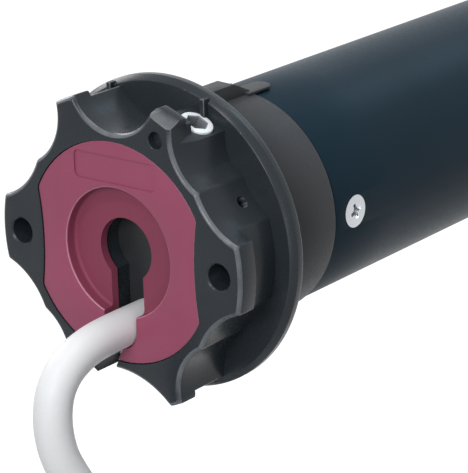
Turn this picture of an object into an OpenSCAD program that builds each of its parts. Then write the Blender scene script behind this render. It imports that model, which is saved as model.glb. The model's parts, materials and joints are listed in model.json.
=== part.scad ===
// Tubular roller blind motor: a head with its cable, a crown that turns on the
// head's neck, a tube with the motor and gearbox inside, and a drive wheel.
// X runs along the motor from the head to the drive wheel and Z points up. The
// origin is midway between the two mounting holes, on the head's front face.

/* [Head] */
// Depth of the star-shaped front, from its face to the flange
head_depth = 13.7; // [11:0.1:20]
// Radius of the upper and lower lobes
lobe_r = 30.4; // [29.6:0.1:31]
// Radius of the two side lobes
side_lobe_r = 29.1; // [28.6:0.1:30]
// Depth of the full-size lip at the front of the lobes
lip_depth = 4.8; // [3:0.1:6]
// How far the side lobes step in behind the lip
side_step = 2.6; // [1:0.1:3]
// How far the upper and lower lobes step in behind the lip
lobe_step = 1.1; // [0.5:0.1:2]
// Radius of the flange
flange_r = 30.8; // [30:0.1:34]
// Thickness of the flange
flange_t = 3; // [2:0.1:5]
// Distance between the two mounting holes
hole_pitch = 48; // [47:0.1:50]
// Diameter of the mounting holes
hole_d = 5; // [3:0.1:5.4]
// Depth of the mounting holes
hole_depth = 11; // [6:0.5:13]
// Wall of the neck that the crown turns on
neck_wall = 2.7; // [2:0.1:3]

/* [Cover plate] */
// Radius of the cover plate
plate_r = 21.5; // [20:0.1:22]
// Thickness of the cover plate
plate_t = 4.2; // [3.5:0.1:5]
// Depth of the round recess in the plate
recess_depth = 2.5; // [1:0.1:2.6]
// Radius of the round recess in the plate
recess_r = 12.6; // [11:0.1:14]
// Radius of the keyhole in the middle
keyhole_r = 6.2; // [5:0.1:7]
// Width of the slot for the cable
slot_w = 7.8; // [7.6:0.1:8.4]

/* [Adjusting screws] */
// Diameter of the head of an adjusting screw
adjuster_d = 6.1; // [5:0.1:6.6]
// Size across the flats of its hexagon socket
adjuster_hex = 3.6; // [2:0.1:4]
// Distance of the screws from the front face
adjuster_x = 10; // [9.8:0.1:10.3]

/* [Crown] */
// How far the crown and the drive wheel stand above the tube
crown_step = 0.4; // [0.3:0.1:1]
// Wall of the crown, from the neck to its outside
crown_wall = 4.3; // [4.2:0.1:4.6]
// Length of the crown
crown_len = 21; // [19:0.5:26]
// From the neck to the pitch circle of the crown's teeth
crown_gear_in = 1.1; // [0.9:0.1:1.2]
// Width of the key rib
key_w = 4; // [3:0.5:8]
// Height of the key rib above the crown
key_h = 2.8; // [1.5:0.1:3.5]
// Length of the tongue that lies over the tube
tongue_len = 6; // [4:0.5:8]

/* [Motor tube] */
// Outer radius of the tube
tube_r = 22.4; // [22.2:0.1:22.6]
// Wall of the tube
tube_wall = 1.5; // [1:0.1:1.6]
// Diameter of a tube screw's head
tube_screw_head_d = 6.6; // [5:0.1:7]
// Diameter of a tube screw's shank
tube_screw_d = 3.8; // [3:0.1:4]
// Number of screws round each end of the tube
tube_screw_count = 3; // [2:1:3]

/* [Limit unit] */
// Length of the limit unit between its end plates
limit_len = 18; // [18:0.5:24]
// Thickness of its end plates
limit_plate_t = 2; // [1.5:0.1:3]

/* [Motor] */
// Width of the cradle between the capacitor and the tube
cradle_wall = 6.9; // [5.5:0.1:8.5]
// Length of the capacitor
capacitor_len = 48; // [35:1:70]
// Length of the stator core
stator_len = 65; // [40:1:90]
// Radius of the rotor
rotor_r = 10.2; // [8:0.1:11]
// Gap between the rotor and the stator
air_gap = 0.3; // [0.2:0.05:0.5]
// Radius of the rotor shaft
shaft_r = 4; // [3.2:0.1:4.4]
// Travel of the brake's armature
brake_travel = 0.4; // [0.2:0.1:1]

/* [Gearbox] */
// Wall of the ring gear outside its pitch circle
ring_wall = 2.8; // [2.3:0.1:4]
// Face width of a planet
planet_len = 10; // [6:0.5:16]
// Thickness of a carrier plate
carrier_t = 4; // [3:0.5:6]
// Radius of a planet's pin
planet_pin_r = 1.5; // [1.2:0.1:2.5]
// Play between the flanks of two teeth
backlash = 0.16; // [0.1:0.01:0.24]

/* [Output] */
// Radius of the output shaft
output_r = 8; // [6:0.1:9]
// Size across the flats of the shaft's square end
square_w = 11; // [8:0.1:11]
// Length of the output bearing housing
housing_len = 22; // [18:0.5:30]
// Width of the drive wheel
wheel_len = 18; // [14:0.5:26]
// Diameter of the two radial screw holes in the wheel
wheel_hole_d = 3.3; // [2.5:0.1:4.2]

/* [Cable] */
// Diameter of the mains cable
cable_d = 7.3; // [6.5:0.1:7.4]
// Length of the bare cores at its far end
core_len = 40; // [20:1:60]
// Length of a ferrule
ferrule_len = 9; // [6:0.5:12]

/* [Fits] */
// Radial clearance of a shaft that turns in its bearing
run_gap = 0.05; // [0.02:0.01:0.1]
// Clearance between two fixed pieces that fit together
seat_gap = 0.1; // [0.05:0.01:0.15]
// Gap between a moving face and what it passes
move_gap = 0.3; // [0.2:0.05:0.4]

/* [Hidden] */
$fn = 96;

// Extra depth that lets a cut run past a face
cut = 1;

// Star outline: each kind of hollow has a centre and a radius
side_hollow = [32.9, 20.2, 14.4];
lobe_hollow = [24.8, 24.7, 11.1];
end_hollow = [0, 33.6, 10.5];
low_hollow = [1, -41.4, 18];
lobe_span = 36;

// Cut behind the lip at each adjusting screw: a flat pocket, then a slanted face
seat_cut_w = 14;
seat_cut_h = 8;
slant_w = 18;
slant_len = 8;
slant_h = 4;
slant_in = 1.4;
slant_angle = 26;

// Thin fins before the flange, the blind hole in the face, and a side hole and slit
fin_y = 11.3;
fin_z = 23;
fin_h = 4.6;
fin_t = 0.8;
fin_len = 1.5;
fin_out = 0.9;
blind_hole_at = [-10.3, 23.4];
blind_hole_r = 1.6;
side_hole_angle = 153;
side_hole_x = 10.4;
side_hole_in = 21.6;
side_hole_r = 1.2;
slit_x = 6.6;
slit_in = 25.8;
slit_w = 3.4;
slit_t = 0.7;

// Angles are measured from +Y towards +Z, seen along +X
adjuster_angle = 116;
key_angle = 92.5;
pinion_angle = 90;
tube_screw_angle = 180;

// Radii that follow from the tube
bore_r = tube_r - tube_wall;
crown_r = tube_r + crown_step;
wheel_r = crown_r;
neck_r = crown_r - crown_wall;
neck_bore = neck_r - neck_wall;
spigot_r = neck_r - 1.5;
frame_r = bore_r - seat_gap - 0.2;
capacitor_r = bore_r - cradle_wall;

// Places along the motor, from front to back
plate_face_x = 0.15;
pocket_depth = plate_face_x + plate_t + seat_gap;
chamber_end = head_depth + 1.5;
socket_x = chamber_end + 3;
flange_x = head_depth;
neck_x = flange_x + flange_t;
crown_x = neck_x + move_gap;
crown_end = crown_x + crown_len;
tube_x = crown_end + 0.5;
spigot_len = 8;
spigot_end = tube_x + spigot_len - 0.5;
adapter_web_x = spigot_end + 0.2;
adapter_web_t = 2.8;
adapter_end = adapter_web_x + adapter_web_t + 5.5;
tube_screw_x = tube_x + 6.5;

// Adjusting screws
adjuster_top = 27.6;
adjuster_head_h = 3.2;
adjuster_stem_r = 2;
adjuster_tip = 18;
adjuster_boss_r = 3.9;
adjuster_floor = 26.9;
adjuster_cut_x = adjuster_x - 3.7;

// Crown gear and the pinion that it turns. All tooth counts stay as they are, because
// the ratios of the joints follow from them.
crown_teeth = 49;
pinion_teeth = 12;
crown_pitch_r = neck_r + crown_gear_in;
crown_module = 2 * crown_pitch_r / crown_teeth;
pinion_pitch_r = crown_module * pinion_teeth / 2;
crown_gear_len = 5;
crown_gear_x = crown_end - crown_gear_len;
pinion_boss_x = crown_gear_x - 7;
pinion_r = crown_pitch_r - pinion_pitch_r;
pinion_x = crown_gear_x + 0.4;
pinion_len = crown_gear_len - 0.8;
arbor_r = 1.25;
pinion_boss_r = 3;
pinion_boss_len = 6.6;
pinion_at = [pinion_r * cos(pinion_angle), pinion_r * sin(pinion_angle)];

// Limit unit
limit_x = adapter_end + 0.2;
limit_back_x = limit_x + limit_plate_t + limit_len;
limit_end = limit_back_x + limit_plate_t;
small_teeth = 12;
reduction_teeth = 36;
cam_teeth = 40;
frame_modules = 41.2;
limit_module = frame_r / frame_modules;
small_r = limit_module * small_teeth / 2;
reduction_r = limit_module * reduction_teeth / 2;
cam_gear_r = limit_module * cam_teeth / 2;
reduction_at = pinion_at + (small_r + reduction_r) * [cos(-120), sin(-120)];
cam_at = reduction_at + (small_r + cam_gear_r) * [cos(-25), sin(-25)];
reduction_x = limit_x + limit_plate_t + 1.4;
reduction_len = 3.2;
cam_x = reduction_x + reduction_len + 1.4;
cam_gear_len = 2;
cam_disc_len = 2;
cam_pitch = 5;
cam_disc_r = cam_gear_r - 2;
cam_bump_r = cam_gear_r - 0.8;
lever_root_r = 0.7;
lever_z = cam_at[1] - cam_bump_r - move_gap - lever_root_r;
lever_y = -5.2;
lever_len = 10.4;
lever_t = 0.4;
lever_w = 1.4;
switch_top = lever_z - lever_root_r - run_gap;
switch_w = 3;
switch_len = 12;
shelf_w = 14;
shelf_t = 1.4;
shelf_z = 0.83 - sqrt(pow(frame_r, 2) - pow(shelf_w / 2, 2));
switch_h = switch_top - seat_gap - shelf_t - shelf_z;

// Motor
capacitor_x = limit_end + 5.5;
capacitor_end = capacitor_x + capacitor_len;
cradle_ring_t = 4;
front_shield_x = capacitor_end + 6;
shield_t = 4;
bush_len = 8;
bush_r = shaft_r + 2.6;
winding_len = 10;
stator_x = front_shield_x + shield_t + bush_len + winding_len - 1;
stator_end = stator_x + stator_len;
rear_shield_x = stator_end + winding_len + 2;
rear_shield_end = rear_shield_x + shield_t + bush_len - 2;
stator_bore = rotor_r + air_gap;
winding_in = stator_bore + 1;
winding_out = bore_r - 2.2;
slot_count = 12;
slot_r = 1.9;
slot_orbit = (winding_in + winding_out) / 2;
shield_hub_r = bush_r + 2;
vent_r = 2.4;
vent_orbit = (shield_hub_r + bore_r) / 2;
shaft_x = front_shield_x + 1;

// Brake
magnet_x = rear_shield_end + 0.2;
magnet_len = 8;
armature_x = magnet_x + magnet_len + brake_travel + 0.1;
armature_t = 3;
disc_x = armature_x + armature_t + 0.1;
disc_t = 3.5;
brake_r = bore_r - 3.6;

// Gearbox
sun_teeth = 12;
planet_teeth = 18;
ring_teeth = sun_teeth + 2 * planet_teeth;
ring_r = bore_r - seat_gap - ring_wall;
gear_module = 2 * ring_r / ring_teeth;
sun_r = gear_module * sun_teeth / 2;
planet_r = gear_module * planet_teeth / 2;
carrier_orbit = sun_r + planet_r;
cover_x = disc_x + disc_t + 2;
cover_t = 3;
ring_x = cover_x + cover_t;
stage_pitch = planet_len + carrier_t + 2.5;
planet_x = ring_x + 4;
sun_x = planet_x - 0.8;
sun_end = planet_x + planet_len + 0.6;
sun_bore = 2.5;
sun_seat_gap = 0.02;
carrier_x = planet_x + planet_len + 1.2;
carrier_r = ring_r - 1.6;
pin_start = planet_x - 0.6;
ring_end = carrier_x + 2 * stage_pitch + carrier_t + 1.5;

// Output
housing_x = ring_end + 0.1;
housing_end = housing_x + housing_len;
cap_x = housing_end + 0.2;
cap_plug = 6;
tube_end = cap_x + cap_plug;
cap_flange_t = 2.6;
cap_end = tube_end + cap_flange_t;
rear_screw_x = housing_x + housing_len * 0.7;
wheel_x = cap_end + 1;
wheel_end = wheel_x + wheel_len;
wheel_wall = 2.4;
wheel_hub_r = 10.4;
wheel_web_t = 4;
wheel_screw_r = 2.4;
wheel_screw_head_r = 8;
wheel_screw_depth = 12;

// Socket in the neck, and the contacts that join the cable's plug to it
socket_w = 14;
socket_h = 17;
socket_len = 11;
socket_low = 2.8 - neck_bore;
contact_pitch = 4;
contact_r = 0.8;
contact_heights = [for (i = [0:3]) socket_low + 2 + i * contact_pitch];
contact_in = 5;
plug_hole = 3;

// Cable: the route of its free stretch, in round numbers, from the plug to the coil
cable_r = cable_d / 2;
plug_x = 8;
cable_z = -15;
cable_route = [
    [8, 0, -15], [4, 0, -15], [0, 0, -15], [-4, 0, -15.1], [-8, 0, -15.4],
    [-12, 0, -16.3], [-15.8, 0, -18.2], [-18.5, 0, -21.4], [-19.8, -0.2, -25.3],
    [-20.1, -0.6, -29.4], [-19.6, -1.3, -33.6], [-18.2, -2.4, -37.8],
    [-16.5, -3.8, -41.8], [-14.8, -5.4, -45.8], [-12.9, -7.2, -49.8],
    [-10.4, -8.9, -53.7], [-7.2, -10.4, -57.2], [-3.2, -11.4, -60], [1, -11.8, -61.6],
    [5, -11.85, -62]
];
tail_route = [
    [5, 11.85, -158], [1, 11.85, -158.1], [-3.2, 11.85, -159], [-7, 11.85, -161.4],
    [-9.8, 11.85, -165], [-11.4, 11.85, -169.4], [-12, 11.85, -174], [-12, 11.85, -178]
];

// Coil: four piled layers of two turns, and a half turn at each change of layer
coil_at = [12.3, -110];
coil_out_r = 48;
turn_pitch = 7.9;
layer_turns = 2;
layer_count = 4;
coil_y = -11.85;
coil_sides = 6;
coil_steps = 24;
cable_sides = 10;
layer_span = layer_turns + 0.5;
coil_turns = layer_count * layer_span - 0.5;
coil_in_r = coil_out_r - turn_pitch * layer_turns;
tie_w = 6;
tie_t = 1.2;
core_r = 0.95;

function unit(v) = v / norm(v);

// Angle between an involute's foot and its point at pressure angle a
function involute(a) = tan(a) * 180 / PI - a;

// Half the angle that a tooth fills at radius r
function tooth_half(teeth, m, thin, r) =
    let (pitch = m * teeth / 2, base = pitch * cos(20), at = max(r, base))
    90 / teeth - thin / 2 / pitch * 180 / PI + involute(20) - involute(acos(base / at));

// Outline of a gear: three points on each flank, at the root, pitch and tip circles
function gear_points(teeth, m, root, tip, thin) =
    let (pitch = m * teeth / 2, radii = [root, pitch, tip])
    [for (i = [0:teeth - 1], s = [-1, 1], k = [0:2])
        let (r = radii[s < 0 ? k : 2 - k], a = i * 360 / teeth + s * tooth_half(teeth, m, thin, r))
        r * [cos(a), sin(a)]];

module outer_gear(teeth, m, thin) {
    pitch = m * teeth / 2;
    polygon(gear_points(teeth, m, pitch - 1.02 * m, pitch + 0.8 * m, thin));
}

// What is cut out of a ring to leave its inner teeth
module inner_gear(teeth, m, thin) {
    pitch = m * teeth / 2;
    polygon(gear_points(teeth, m, pitch - 0.8 * m, pitch + 1.02 * m, -thin));
}

// Puts a shape drawn in the Y-Z plane and raised along its own Z at place x
module at_x(x) {
    translate([x, 0, 0]) rotate([90, 0, 90]) children();
}

module disc(x, len, r) {
    at_x(x) cylinder(r = r, h = len);
}

module ring(x, len, r_out, r_in) {
    at_x(x) difference() {
        cylinder(r = r_out, h = len);
        translate([0, 0, -cut]) cylinder(r = r_in, h = len + 2 * cut);
    }
}

// A round bar along X that is centred at point p of the Y-Z plane
module bar(x, len, r, p) {
    at_x(x) translate([p[0], p[1], 0]) cylinder(r = r, h = len);
}

// Turns its children from +Z to an angle in the Y-Z plane
module spoke(angle) {
    rotate([angle - 90, 0, 0]) children();
}

// A round tube that follows a list of points, with its end faces square to two directions
module swept(points, r, sides, first, last) {
    count = len(points);
    rings = [for (i = [0:count - 1])
        let (
            t = i == 0 ? first : i == count - 1 ? last : unit(points[i + 1] - points[i - 1]),
            n = unit([0, 1, 0] - t[1] * t),
            b = cross(t, n)
        )
        [for (k = [0:sides - 1])
            points[i] + r * (cos(k * 360 / sides) * n + sin(k * 360 / sides) * b)]];
    sides_faces = [for (i = [0:count - 2], k = [0:sides - 1], half = [0, 1])
        let (a = i * sides + k, b = i * sides + (k + 1) % sides)
        half == 0 ? [a, a + sides, b] : [b, a + sides, b + sides]];
    end_faces = [for (k = [1:sides - 2]) each [
        [0, k, k + 1],
        [(count - 1) * sides, (count - 1) * sides + k + 1, (count - 1) * sides + k]]];
    polyhedron([for (ring = rings) each ring], concat(sides_faces, end_faces));
}

module star(main_r, side_r) {
    difference() {
        union() {
            circle(side_r);
            intersection() {
                circle(main_r);
                square([lobe_span, 2 * main_r + cut], center = true);
            }
        }
        for (sy = [-1, 1], sz = [-1, 1], h = [side_hollow, lobe_hollow])
            translate([sy * h[0], sz * h[1]]) circle(h[2]);
        for (h = [end_hollow, low_hollow]) translate([h[0], h[1]]) circle(h[2]);
    }
}

// The keyhole and the slot below it, with a slanting mouth that holds the cable in
module cable_slot(extra) {
    mouth_w = 5;
    mouth_slant = 27;
    mouth_len = 12;
    mouth_at = [1.2, cable_z - 1.4];
    circle(keyhole_r + extra);
    translate([-slot_w / 2 - extra, cable_z]) square([slot_w + 2 * extra, -cable_z]);
    translate([0, cable_z]) circle(slot_w / 2 + extra);
    translate(mouth_at) rotate(mouth_slant)
        translate([-mouth_w / 2 - extra, -mouth_len]) square([mouth_w + 2 * extra, mouth_len]);
}

module plate_outline(extra) {
    side_hollow_r = 59;
    side_x = 18.35;
    difference() {
        circle(plate_r + extra);
        for (s = [-1, 1])
            translate([s * (side_x + extra + side_hollow_r), 0]) circle(side_hollow_r);
    }
}

// Space behind the plate that the cable and its plug lie in
module chamber(extra) {
    plug_w = 8.4;
    plug_low = -19.2;
    circle(keyhole_r + 0.4 - extra);
    translate([-plug_w / 2 + extra, plug_low + extra])
        square([plug_w - 2 * extra, -plug_low]);
}

neck_screw_angles = [20, 160, 270];
neck_screw_orbit = neck_bore - 2.8;
neck_screw_r = 1.45;
neck_boss_r = 3;
neck_boss_len = 10;

module neck_screw_places() {
    for (a = neck_screw_angles) rotate(a) translate([neck_screw_orbit, 0]) children();
}

module adjuster_seats() {
    for (turn = [0, 180]) spoke(adjuster_angle + turn) children();
}

// The star with its lip, cut away behind the lip at the two adjusting screws
module star_block() {
    difference() {
        union() {
            at_x(0) linear_extrude(lip_depth) star(lobe_r, side_lobe_r);
            at_x(0) linear_extrude(head_depth + flange_t / 2)
                star(lobe_r - lobe_step, side_lobe_r - side_step);
        }
        adjuster_seats() {
            translate([adjuster_cut_x, -seat_cut_w / 2, adjuster_floor])
                cube([head_depth, seat_cut_w, seat_cut_h]);
            translate([0, 0, lobe_r - slant_in]) rotate([0, -slant_angle, 0])
                translate([-slant_len / 2, -slant_w / 2, 0]) cube([slant_len, slant_w, slant_h]);
        }
    }
}

module flange() {
    chamfer = 1.1;
    at_x(flange_x) cylinder(r1 = flange_r - chamfer, r2 = flange_r, h = chamfer);
    disc(flange_x + chamfer, flange_t - chamfer, flange_r);
}

module head() {
    window_w = 2 * (pinion_pitch_r + crown_module) + 1;
    window_in = 6;
    window_h = 10;
    pin_window_w = 5;
    boss_root = 2;
    color("#2e3136") difference() {
        union() {
            difference() {
                union() {
                    star_block();
                    flange();
                    disc(flange_x, tube_x - 0.2 - flange_x, neck_r);
                    disc(flange_x, spigot_end - flange_x, spigot_r);
                }
                disc(socket_x, spigot_end - socket_x + cut, neck_bore);
            }
            adjuster_seats() translate([adjuster_x, 0, plate_r - boss_root])
                cylinder(r = adjuster_boss_r, h = adjuster_top - move_gap - plate_r + boss_root);
            for (y = [-fin_y, fin_y])
                translate([flange_x - fin_out, y - fin_t / 2, fin_z]) cube([fin_len, fin_t, fin_h]);
            intersection() {
                at_x(spigot_end - neck_boss_len) neck_screw_places()
                    cylinder(r = neck_boss_r, h = neck_boss_len);
                disc(spigot_end - neck_boss_len, neck_boss_len, spigot_r - 0.5);
            }
            intersection() {
                bar(pinion_boss_x, pinion_boss_len, pinion_boss_r, pinion_at);
                disc(pinion_boss_x, pinion_boss_len, neck_r - 0.5);
            }
        }
        at_x(-cut) linear_extrude(pocket_depth + cut) plate_outline(seat_gap);
        at_x(0) linear_extrude(chamber_end) chamber(0);
        at_x(-cut) linear_extrude(chamber_end - 3.2 + cut) cable_slot(0.2);
        for (s = [-1, 1])
            at_x(-cut) translate([s * hole_pitch / 2, 0, 0])
                cylinder(d = hole_d, h = hole_depth + cut);
        bar(-cut, blind_hole_r + cut, blind_hole_r, blind_hole_at);
        adjuster_seats() {
            translate([adjuster_x, 0, adjuster_top - adjuster_head_h])
                cylinder(d = adjuster_d + 2 * move_gap, h = 8);
            translate([adjuster_x, 0, adjuster_tip - 1.4])
                cylinder(r = adjuster_stem_r + run_gap, h = 12);
        }
        spoke(side_hole_angle) translate([side_hole_x, 0, side_hole_in])
            cylinder(r = side_hole_r, h = side_lobe_r - side_hole_in);
        spoke(180) translate([slit_x, -slit_w / 2, slit_in])
            cube([slit_t, slit_w, side_lobe_r - slit_in]);
        translate([chamber_end - cut, -pin_window_w / 2, socket_low])
            cube([socket_x - chamber_end + 2 * cut, pin_window_w, socket_h]);
        at_x(spigot_end - neck_boss_len + 1) neck_screw_places()
            cylinder(r = neck_screw_r + run_gap, h = neck_boss_len);
        bar(crown_gear_x - 5, spigot_end - crown_gear_x + 6, arbor_r + run_gap, pinion_at);
        spoke(pinion_angle)
            translate([crown_gear_x - 0.2, -window_w / 2, neck_bore - window_in])
                cube([tube_x + 1 - crown_gear_x, window_w, window_h]);
        bar(crown_gear_x, spigot_end - crown_gear_x + cut, arbor_r + move_gap, pinion_at);
    }
}

// Flush front with a round recess, a keyhole, a slot and a shallow bare panel
module cover_plate() {
    panel_w = 19.4;
    panel_h = 5.3;
    panel_z = 16.1;
    panel_depth = 0.3;
    color("#97526a") difference() {
        at_x(plate_face_x) linear_extrude(plate_t) plate_outline(0);
        disc(plate_face_x - cut, recess_depth + cut, recess_r);
        at_x(0) linear_extrude(plate_t + cut) cable_slot(0);
        translate([plate_face_x - cut, -panel_w / 2, panel_z - panel_h / 2])
            cube([panel_depth + cut, panel_w, panel_h]);
    }
}

// Moulded plug on the cable's end, inside the head
module cable_plug() {
    color("#26282c") difference() {
        at_x(plug_x) linear_extrude(chamber_end - plug_x - seat_gap) chamber(seat_gap);
        for (z = contact_heights) bar(plug_x + plug_hole, 9, contact_r, [0, z]);
    }
}

module plug_pins() {
    color("#c9a34a") for (z = contact_heights)
        bar(plug_x + plug_hole, socket_x + contact_in - plug_x - plug_hole, contact_r, [0, z]);
}

module terminal_socket() {
    color("#e4e2da") difference() {
        translate([socket_x, -socket_w / 2, socket_low]) cube([socket_len, socket_w, socket_h]);
        for (z = contact_heights)
            bar(socket_x - cut, contact_in + cut + 0.2, contact_r + run_gap, [0, z]);
    }
}

module neck_screws() {
    screw_head_r = 2.4;
    screw_head_h = 1.8;
    screw_x = adapter_web_x + adapter_web_t;
    color("#c4c7ca") at_x(0) neck_screw_places() difference() {
        union() {
            translate([0, 0, spigot_end - neck_boss_len + 2])
                cylinder(r = neck_screw_r, h = screw_x - spigot_end + neck_boss_len - 2 + 0.1);
            translate([0, 0, screw_x]) cylinder(r = screw_head_r, h = screw_head_h);
        }
        translate([0, 0, screw_x + 0.8]) cylinder(r = 1.3, h = 2, $fn = 6);
    }
}

// Places round the tube's ends where its screws go in
module tube_screw_places(x) {
    for (i = [0:tube_screw_count - 1])
        spoke(tube_screw_angle + i * 360 / tube_screw_count) translate([x, 0, 0]) children();
}

module tube_adapter() {
    skirt_wall = 3.2;
    web_bore = 8;
    outer = bore_r - seat_gap;
    color("#3a3d42") difference() {
        disc(tube_x, adapter_end - tube_x, outer);
        disc(tube_x - cut, adapter_web_x - tube_x + cut, spigot_r + seat_gap / 2);
        disc(adapter_web_x - cut, adapter_web_t + 2 * cut, web_bore);
        disc(adapter_web_x + adapter_web_t, adapter_end, outer - skirt_wall);
        at_x(adapter_web_x - cut) neck_screw_places()
            cylinder(r = neck_screw_r + seat_gap, h = adapter_web_t + 2 * cut);
        bar(adapter_web_x - cut, adapter_web_t + 2 * cut, arbor_r + run_gap, pinion_at);
        tube_screw_places(tube_screw_x) cylinder(d = tube_screw_d + 2 * run_gap, h = tube_r);
    }
}

module motor_tube() {
    sink = (tube_screw_head_d - tube_screw_d) / 2;
    color("#2f4350") difference() {
        ring(tube_x, tube_end - tube_x, tube_r, bore_r);
        for (x = [tube_screw_x, rear_screw_x])
            tube_screw_places(x) {
                cylinder(d = tube_screw_d + 2 * run_gap, h = tube_r + cut);
                translate([0, 0, tube_r - sink])
                    cylinder(r1 = tube_screw_d / 2 + run_gap,
                        r2 = tube_screw_head_d / 2 + run_gap + cut, h = sink + cut);
            }
    }
}

// Countersunk screws with a cross recess, set radially
module tube_screws(x, tip) {
    sink = (tube_screw_head_d - tube_screw_d) / 2;
    dome = 0.1;
    recess_w = 0.8;
    recess_len = 3.6;
    recess_deep = 1.1;
    color("#d5d8da") tube_screw_places(x) difference() {
        union() {
            translate([0, 0, tip]) cylinder(d = tube_screw_d, h = tube_r - tip);
            translate([0, 0, tube_r - sink])
                cylinder(d1 = tube_screw_d, d2 = tube_screw_head_d, h = sink);
            translate([0, 0, tube_r])
                cylinder(d1 = tube_screw_head_d, d2 = tube_screw_head_d - 2, h = dome);
        }
        for (turn = [0, 90]) rotate(turn)
            translate([-recess_len / 2, -recess_w / 2, tube_r + dome - recess_deep])
                cube([recess_len, recess_w, 2]);
    }
}

// Two end plates joined by bars, the cam wheels' arbor and the switches' shelf
module limit_frame() {
    bar_angles = [45, 127, 203.6];
    bar_r = 1.5;
    bar_orbit = frame_r - bar_r - 0.5;
    collar_r = 2.2;
    color("#d9d6cc") difference() {
        union() {
            disc(limit_x, limit_plate_t, frame_r);
            disc(limit_back_x, limit_plate_t, frame_r);
            for (a = bar_angles)
                bar(limit_x, limit_end - limit_x, bar_r, bar_orbit * [cos(a), sin(a)]);
            bar(limit_x, limit_end - limit_x, arbor_r, cam_at);
            bar(limit_x, cam_x - 0.1 - limit_x, collar_r, cam_at);
            bar(cam_x + cam_gear_len + cam_disc_len + 0.1,
                cam_pitch - cam_gear_len - cam_disc_len - 0.2, collar_r, cam_at);
            bar(cam_x + cam_pitch + cam_gear_len + cam_disc_len + 0.1,
                limit_back_x - cam_x - cam_pitch - cam_gear_len - cam_disc_len,
                collar_r, cam_at);
            translate([limit_x + cut, -shelf_w / 2, shelf_z])
                cube([limit_back_x - limit_x, shelf_w, shelf_t]);
        }
        for (p = [pinion_at, reduction_at])
            bar(limit_x - cut, limit_end - limit_x + 2 * cut, arbor_r + run_gap, p);
        disc(limit_x - cut, limit_plate_t + 2 * cut, 3);
        bar(limit_back_x - cut, limit_plate_t + 2 * cut, 3, [0, -6]);
    }
}

// Middle of a cam wheel's disc, where its lever and its switch lie
function cam_disc_mid(i) = cam_x + i * cam_pitch + cam_gear_len + cam_disc_len / 2;

module limit_switches() {
    terminal_r = 0.5;
    color("#33363b") for (i = [0, 1]) {
        translate([cam_disc_mid(i) - switch_w / 2, -switch_len / 2, switch_top - switch_h])
            cube([switch_w, switch_len, switch_h]);
        translate([cam_disc_mid(i), 3, switch_top - 0.1]) cylinder(r = terminal_r, h = 0.3);
    }
}

module switch_lever(i) {
    color("#c9a34a") {
        bar(cam_disc_mid(i) - lever_w / 2, lever_w, lever_root_r, [lever_y, lever_z]);
        translate([cam_disc_mid(i) - lever_w / 2, lever_y, lever_z + lever_root_r - lever_t])
            cube([lever_w, lever_len, lever_t]);
    }
}

// Internal gear at the back, plain bore in front, key rib and tongue outside
module crown_ring() {
    key_top = crown_r + key_h;
    tongue_in = tube_r + 0.4;
    tongue_t = 0.5;
    tongue_angle = key_angle + 2.5;
    tongue_end = crown_end + tongue_len;
    slope_x = crown_end - 5.6;
    color("#4a4b50") difference() {
        union() {
            at_x(crown_x) cylinder(r1 = crown_r - 0.6, r2 = crown_r, h = 0.6);
            disc(crown_x + 0.6, crown_len - 0.6, crown_r);
            spoke(key_angle) translate([0, -key_w / 2, 0]) rotate([-90, 0, 0])
                linear_extrude(key_w) polygon([
                    [crown_x + 1.2, -crown_r + 1], [crown_end - 0.4, -crown_r + 1],
                    [crown_end - 0.4, -tongue_in - tongue_t], [slope_x, -key_top],
                    [crown_x + 2, -key_top], [crown_x + 1.2, -key_top + 0.6]]);
            spoke(tongue_angle) {
                translate([crown_end - 2, -key_w / 2, tongue_in - 1])
                    cube([2, key_w, tongue_t + 1]);
                translate([crown_end - 1, -key_w / 2, tongue_in])
                    cube([tongue_len + 1 - key_w / 2, key_w, tongue_t]);
                translate([tongue_end - key_w / 2, 0, tongue_in])
                    cylinder(r = key_w / 2, h = tongue_t);
            }
        }
        disc(crown_x - cut, crown_len + 2 * cut, neck_r + run_gap);
        at_x(crown_gear_x) rotate(pinion_angle) linear_extrude(crown_gear_len + 2 * cut)
            inner_gear(crown_teeth, crown_module, backlash / 2);
    }
}

// Meshes with the crown through the neck's window, and drives the reduction gear
module crown_pinion() {
    color("#e8e6df") {
        at_x(pinion_x) translate([pinion_at[0], pinion_at[1], 0]) rotate(pinion_angle)
            linear_extrude(pinion_len) outer_gear(pinion_teeth, crown_module, backlash / 2);
        bar(crown_gear_x - 4.6, limit_end - crown_gear_x + 4.6, arbor_r, pinion_at);
        at_x(reduction_x - 0.4) translate([pinion_at[0], pinion_at[1], 0]) rotate(-120)
            linear_extrude(reduction_len + 0.8)
                outer_gear(small_teeth, limit_module, backlash / 2);
    }
}

module reduction_gear() {
    color("#e8e6df") {
        at_x(reduction_x) translate([reduction_at[0], reduction_at[1], 0])
            rotate(60 + 180 / reduction_teeth) linear_extrude(reduction_len)
                outer_gear(reduction_teeth, limit_module, backlash / 2);
        bar(limit_x, limit_end - limit_x, arbor_r, reduction_at);
        at_x(reduction_x + reduction_len - 0.2)
            translate([reduction_at[0], reduction_at[1], 0]) rotate(-25)
                linear_extrude(cam_x + cam_pitch + cam_gear_len - reduction_x - reduction_len + 0.4)
                    outer_gear(small_teeth, limit_module, backlash / 2);
    }
}

module cam_wheel(i, bump_angle, shade) {
    color(shade) at_x(cam_x + i * cam_pitch) translate([cam_at[0], cam_at[1], 0])
        difference() {
            union() {
                rotate(155 + 180 / cam_teeth) linear_extrude(cam_gear_len)
                    outer_gear(cam_teeth, limit_module, backlash / 2);
                translate([0, 0, cam_gear_len - 0.2]) {
                    cylinder(r = cam_disc_r, h = cam_disc_len + 0.2);
                    rotate(bump_angle) translate([cam_bump_r - 2, 0, 0])
                        cylinder(r = 2, h = cam_disc_len + 0.2);
                }
            }
            translate([0, 0, -cut])
                cylinder(r = arbor_r + run_gap, h = cam_gear_len + cam_disc_len + 2 * cut);
        }
}

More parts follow.
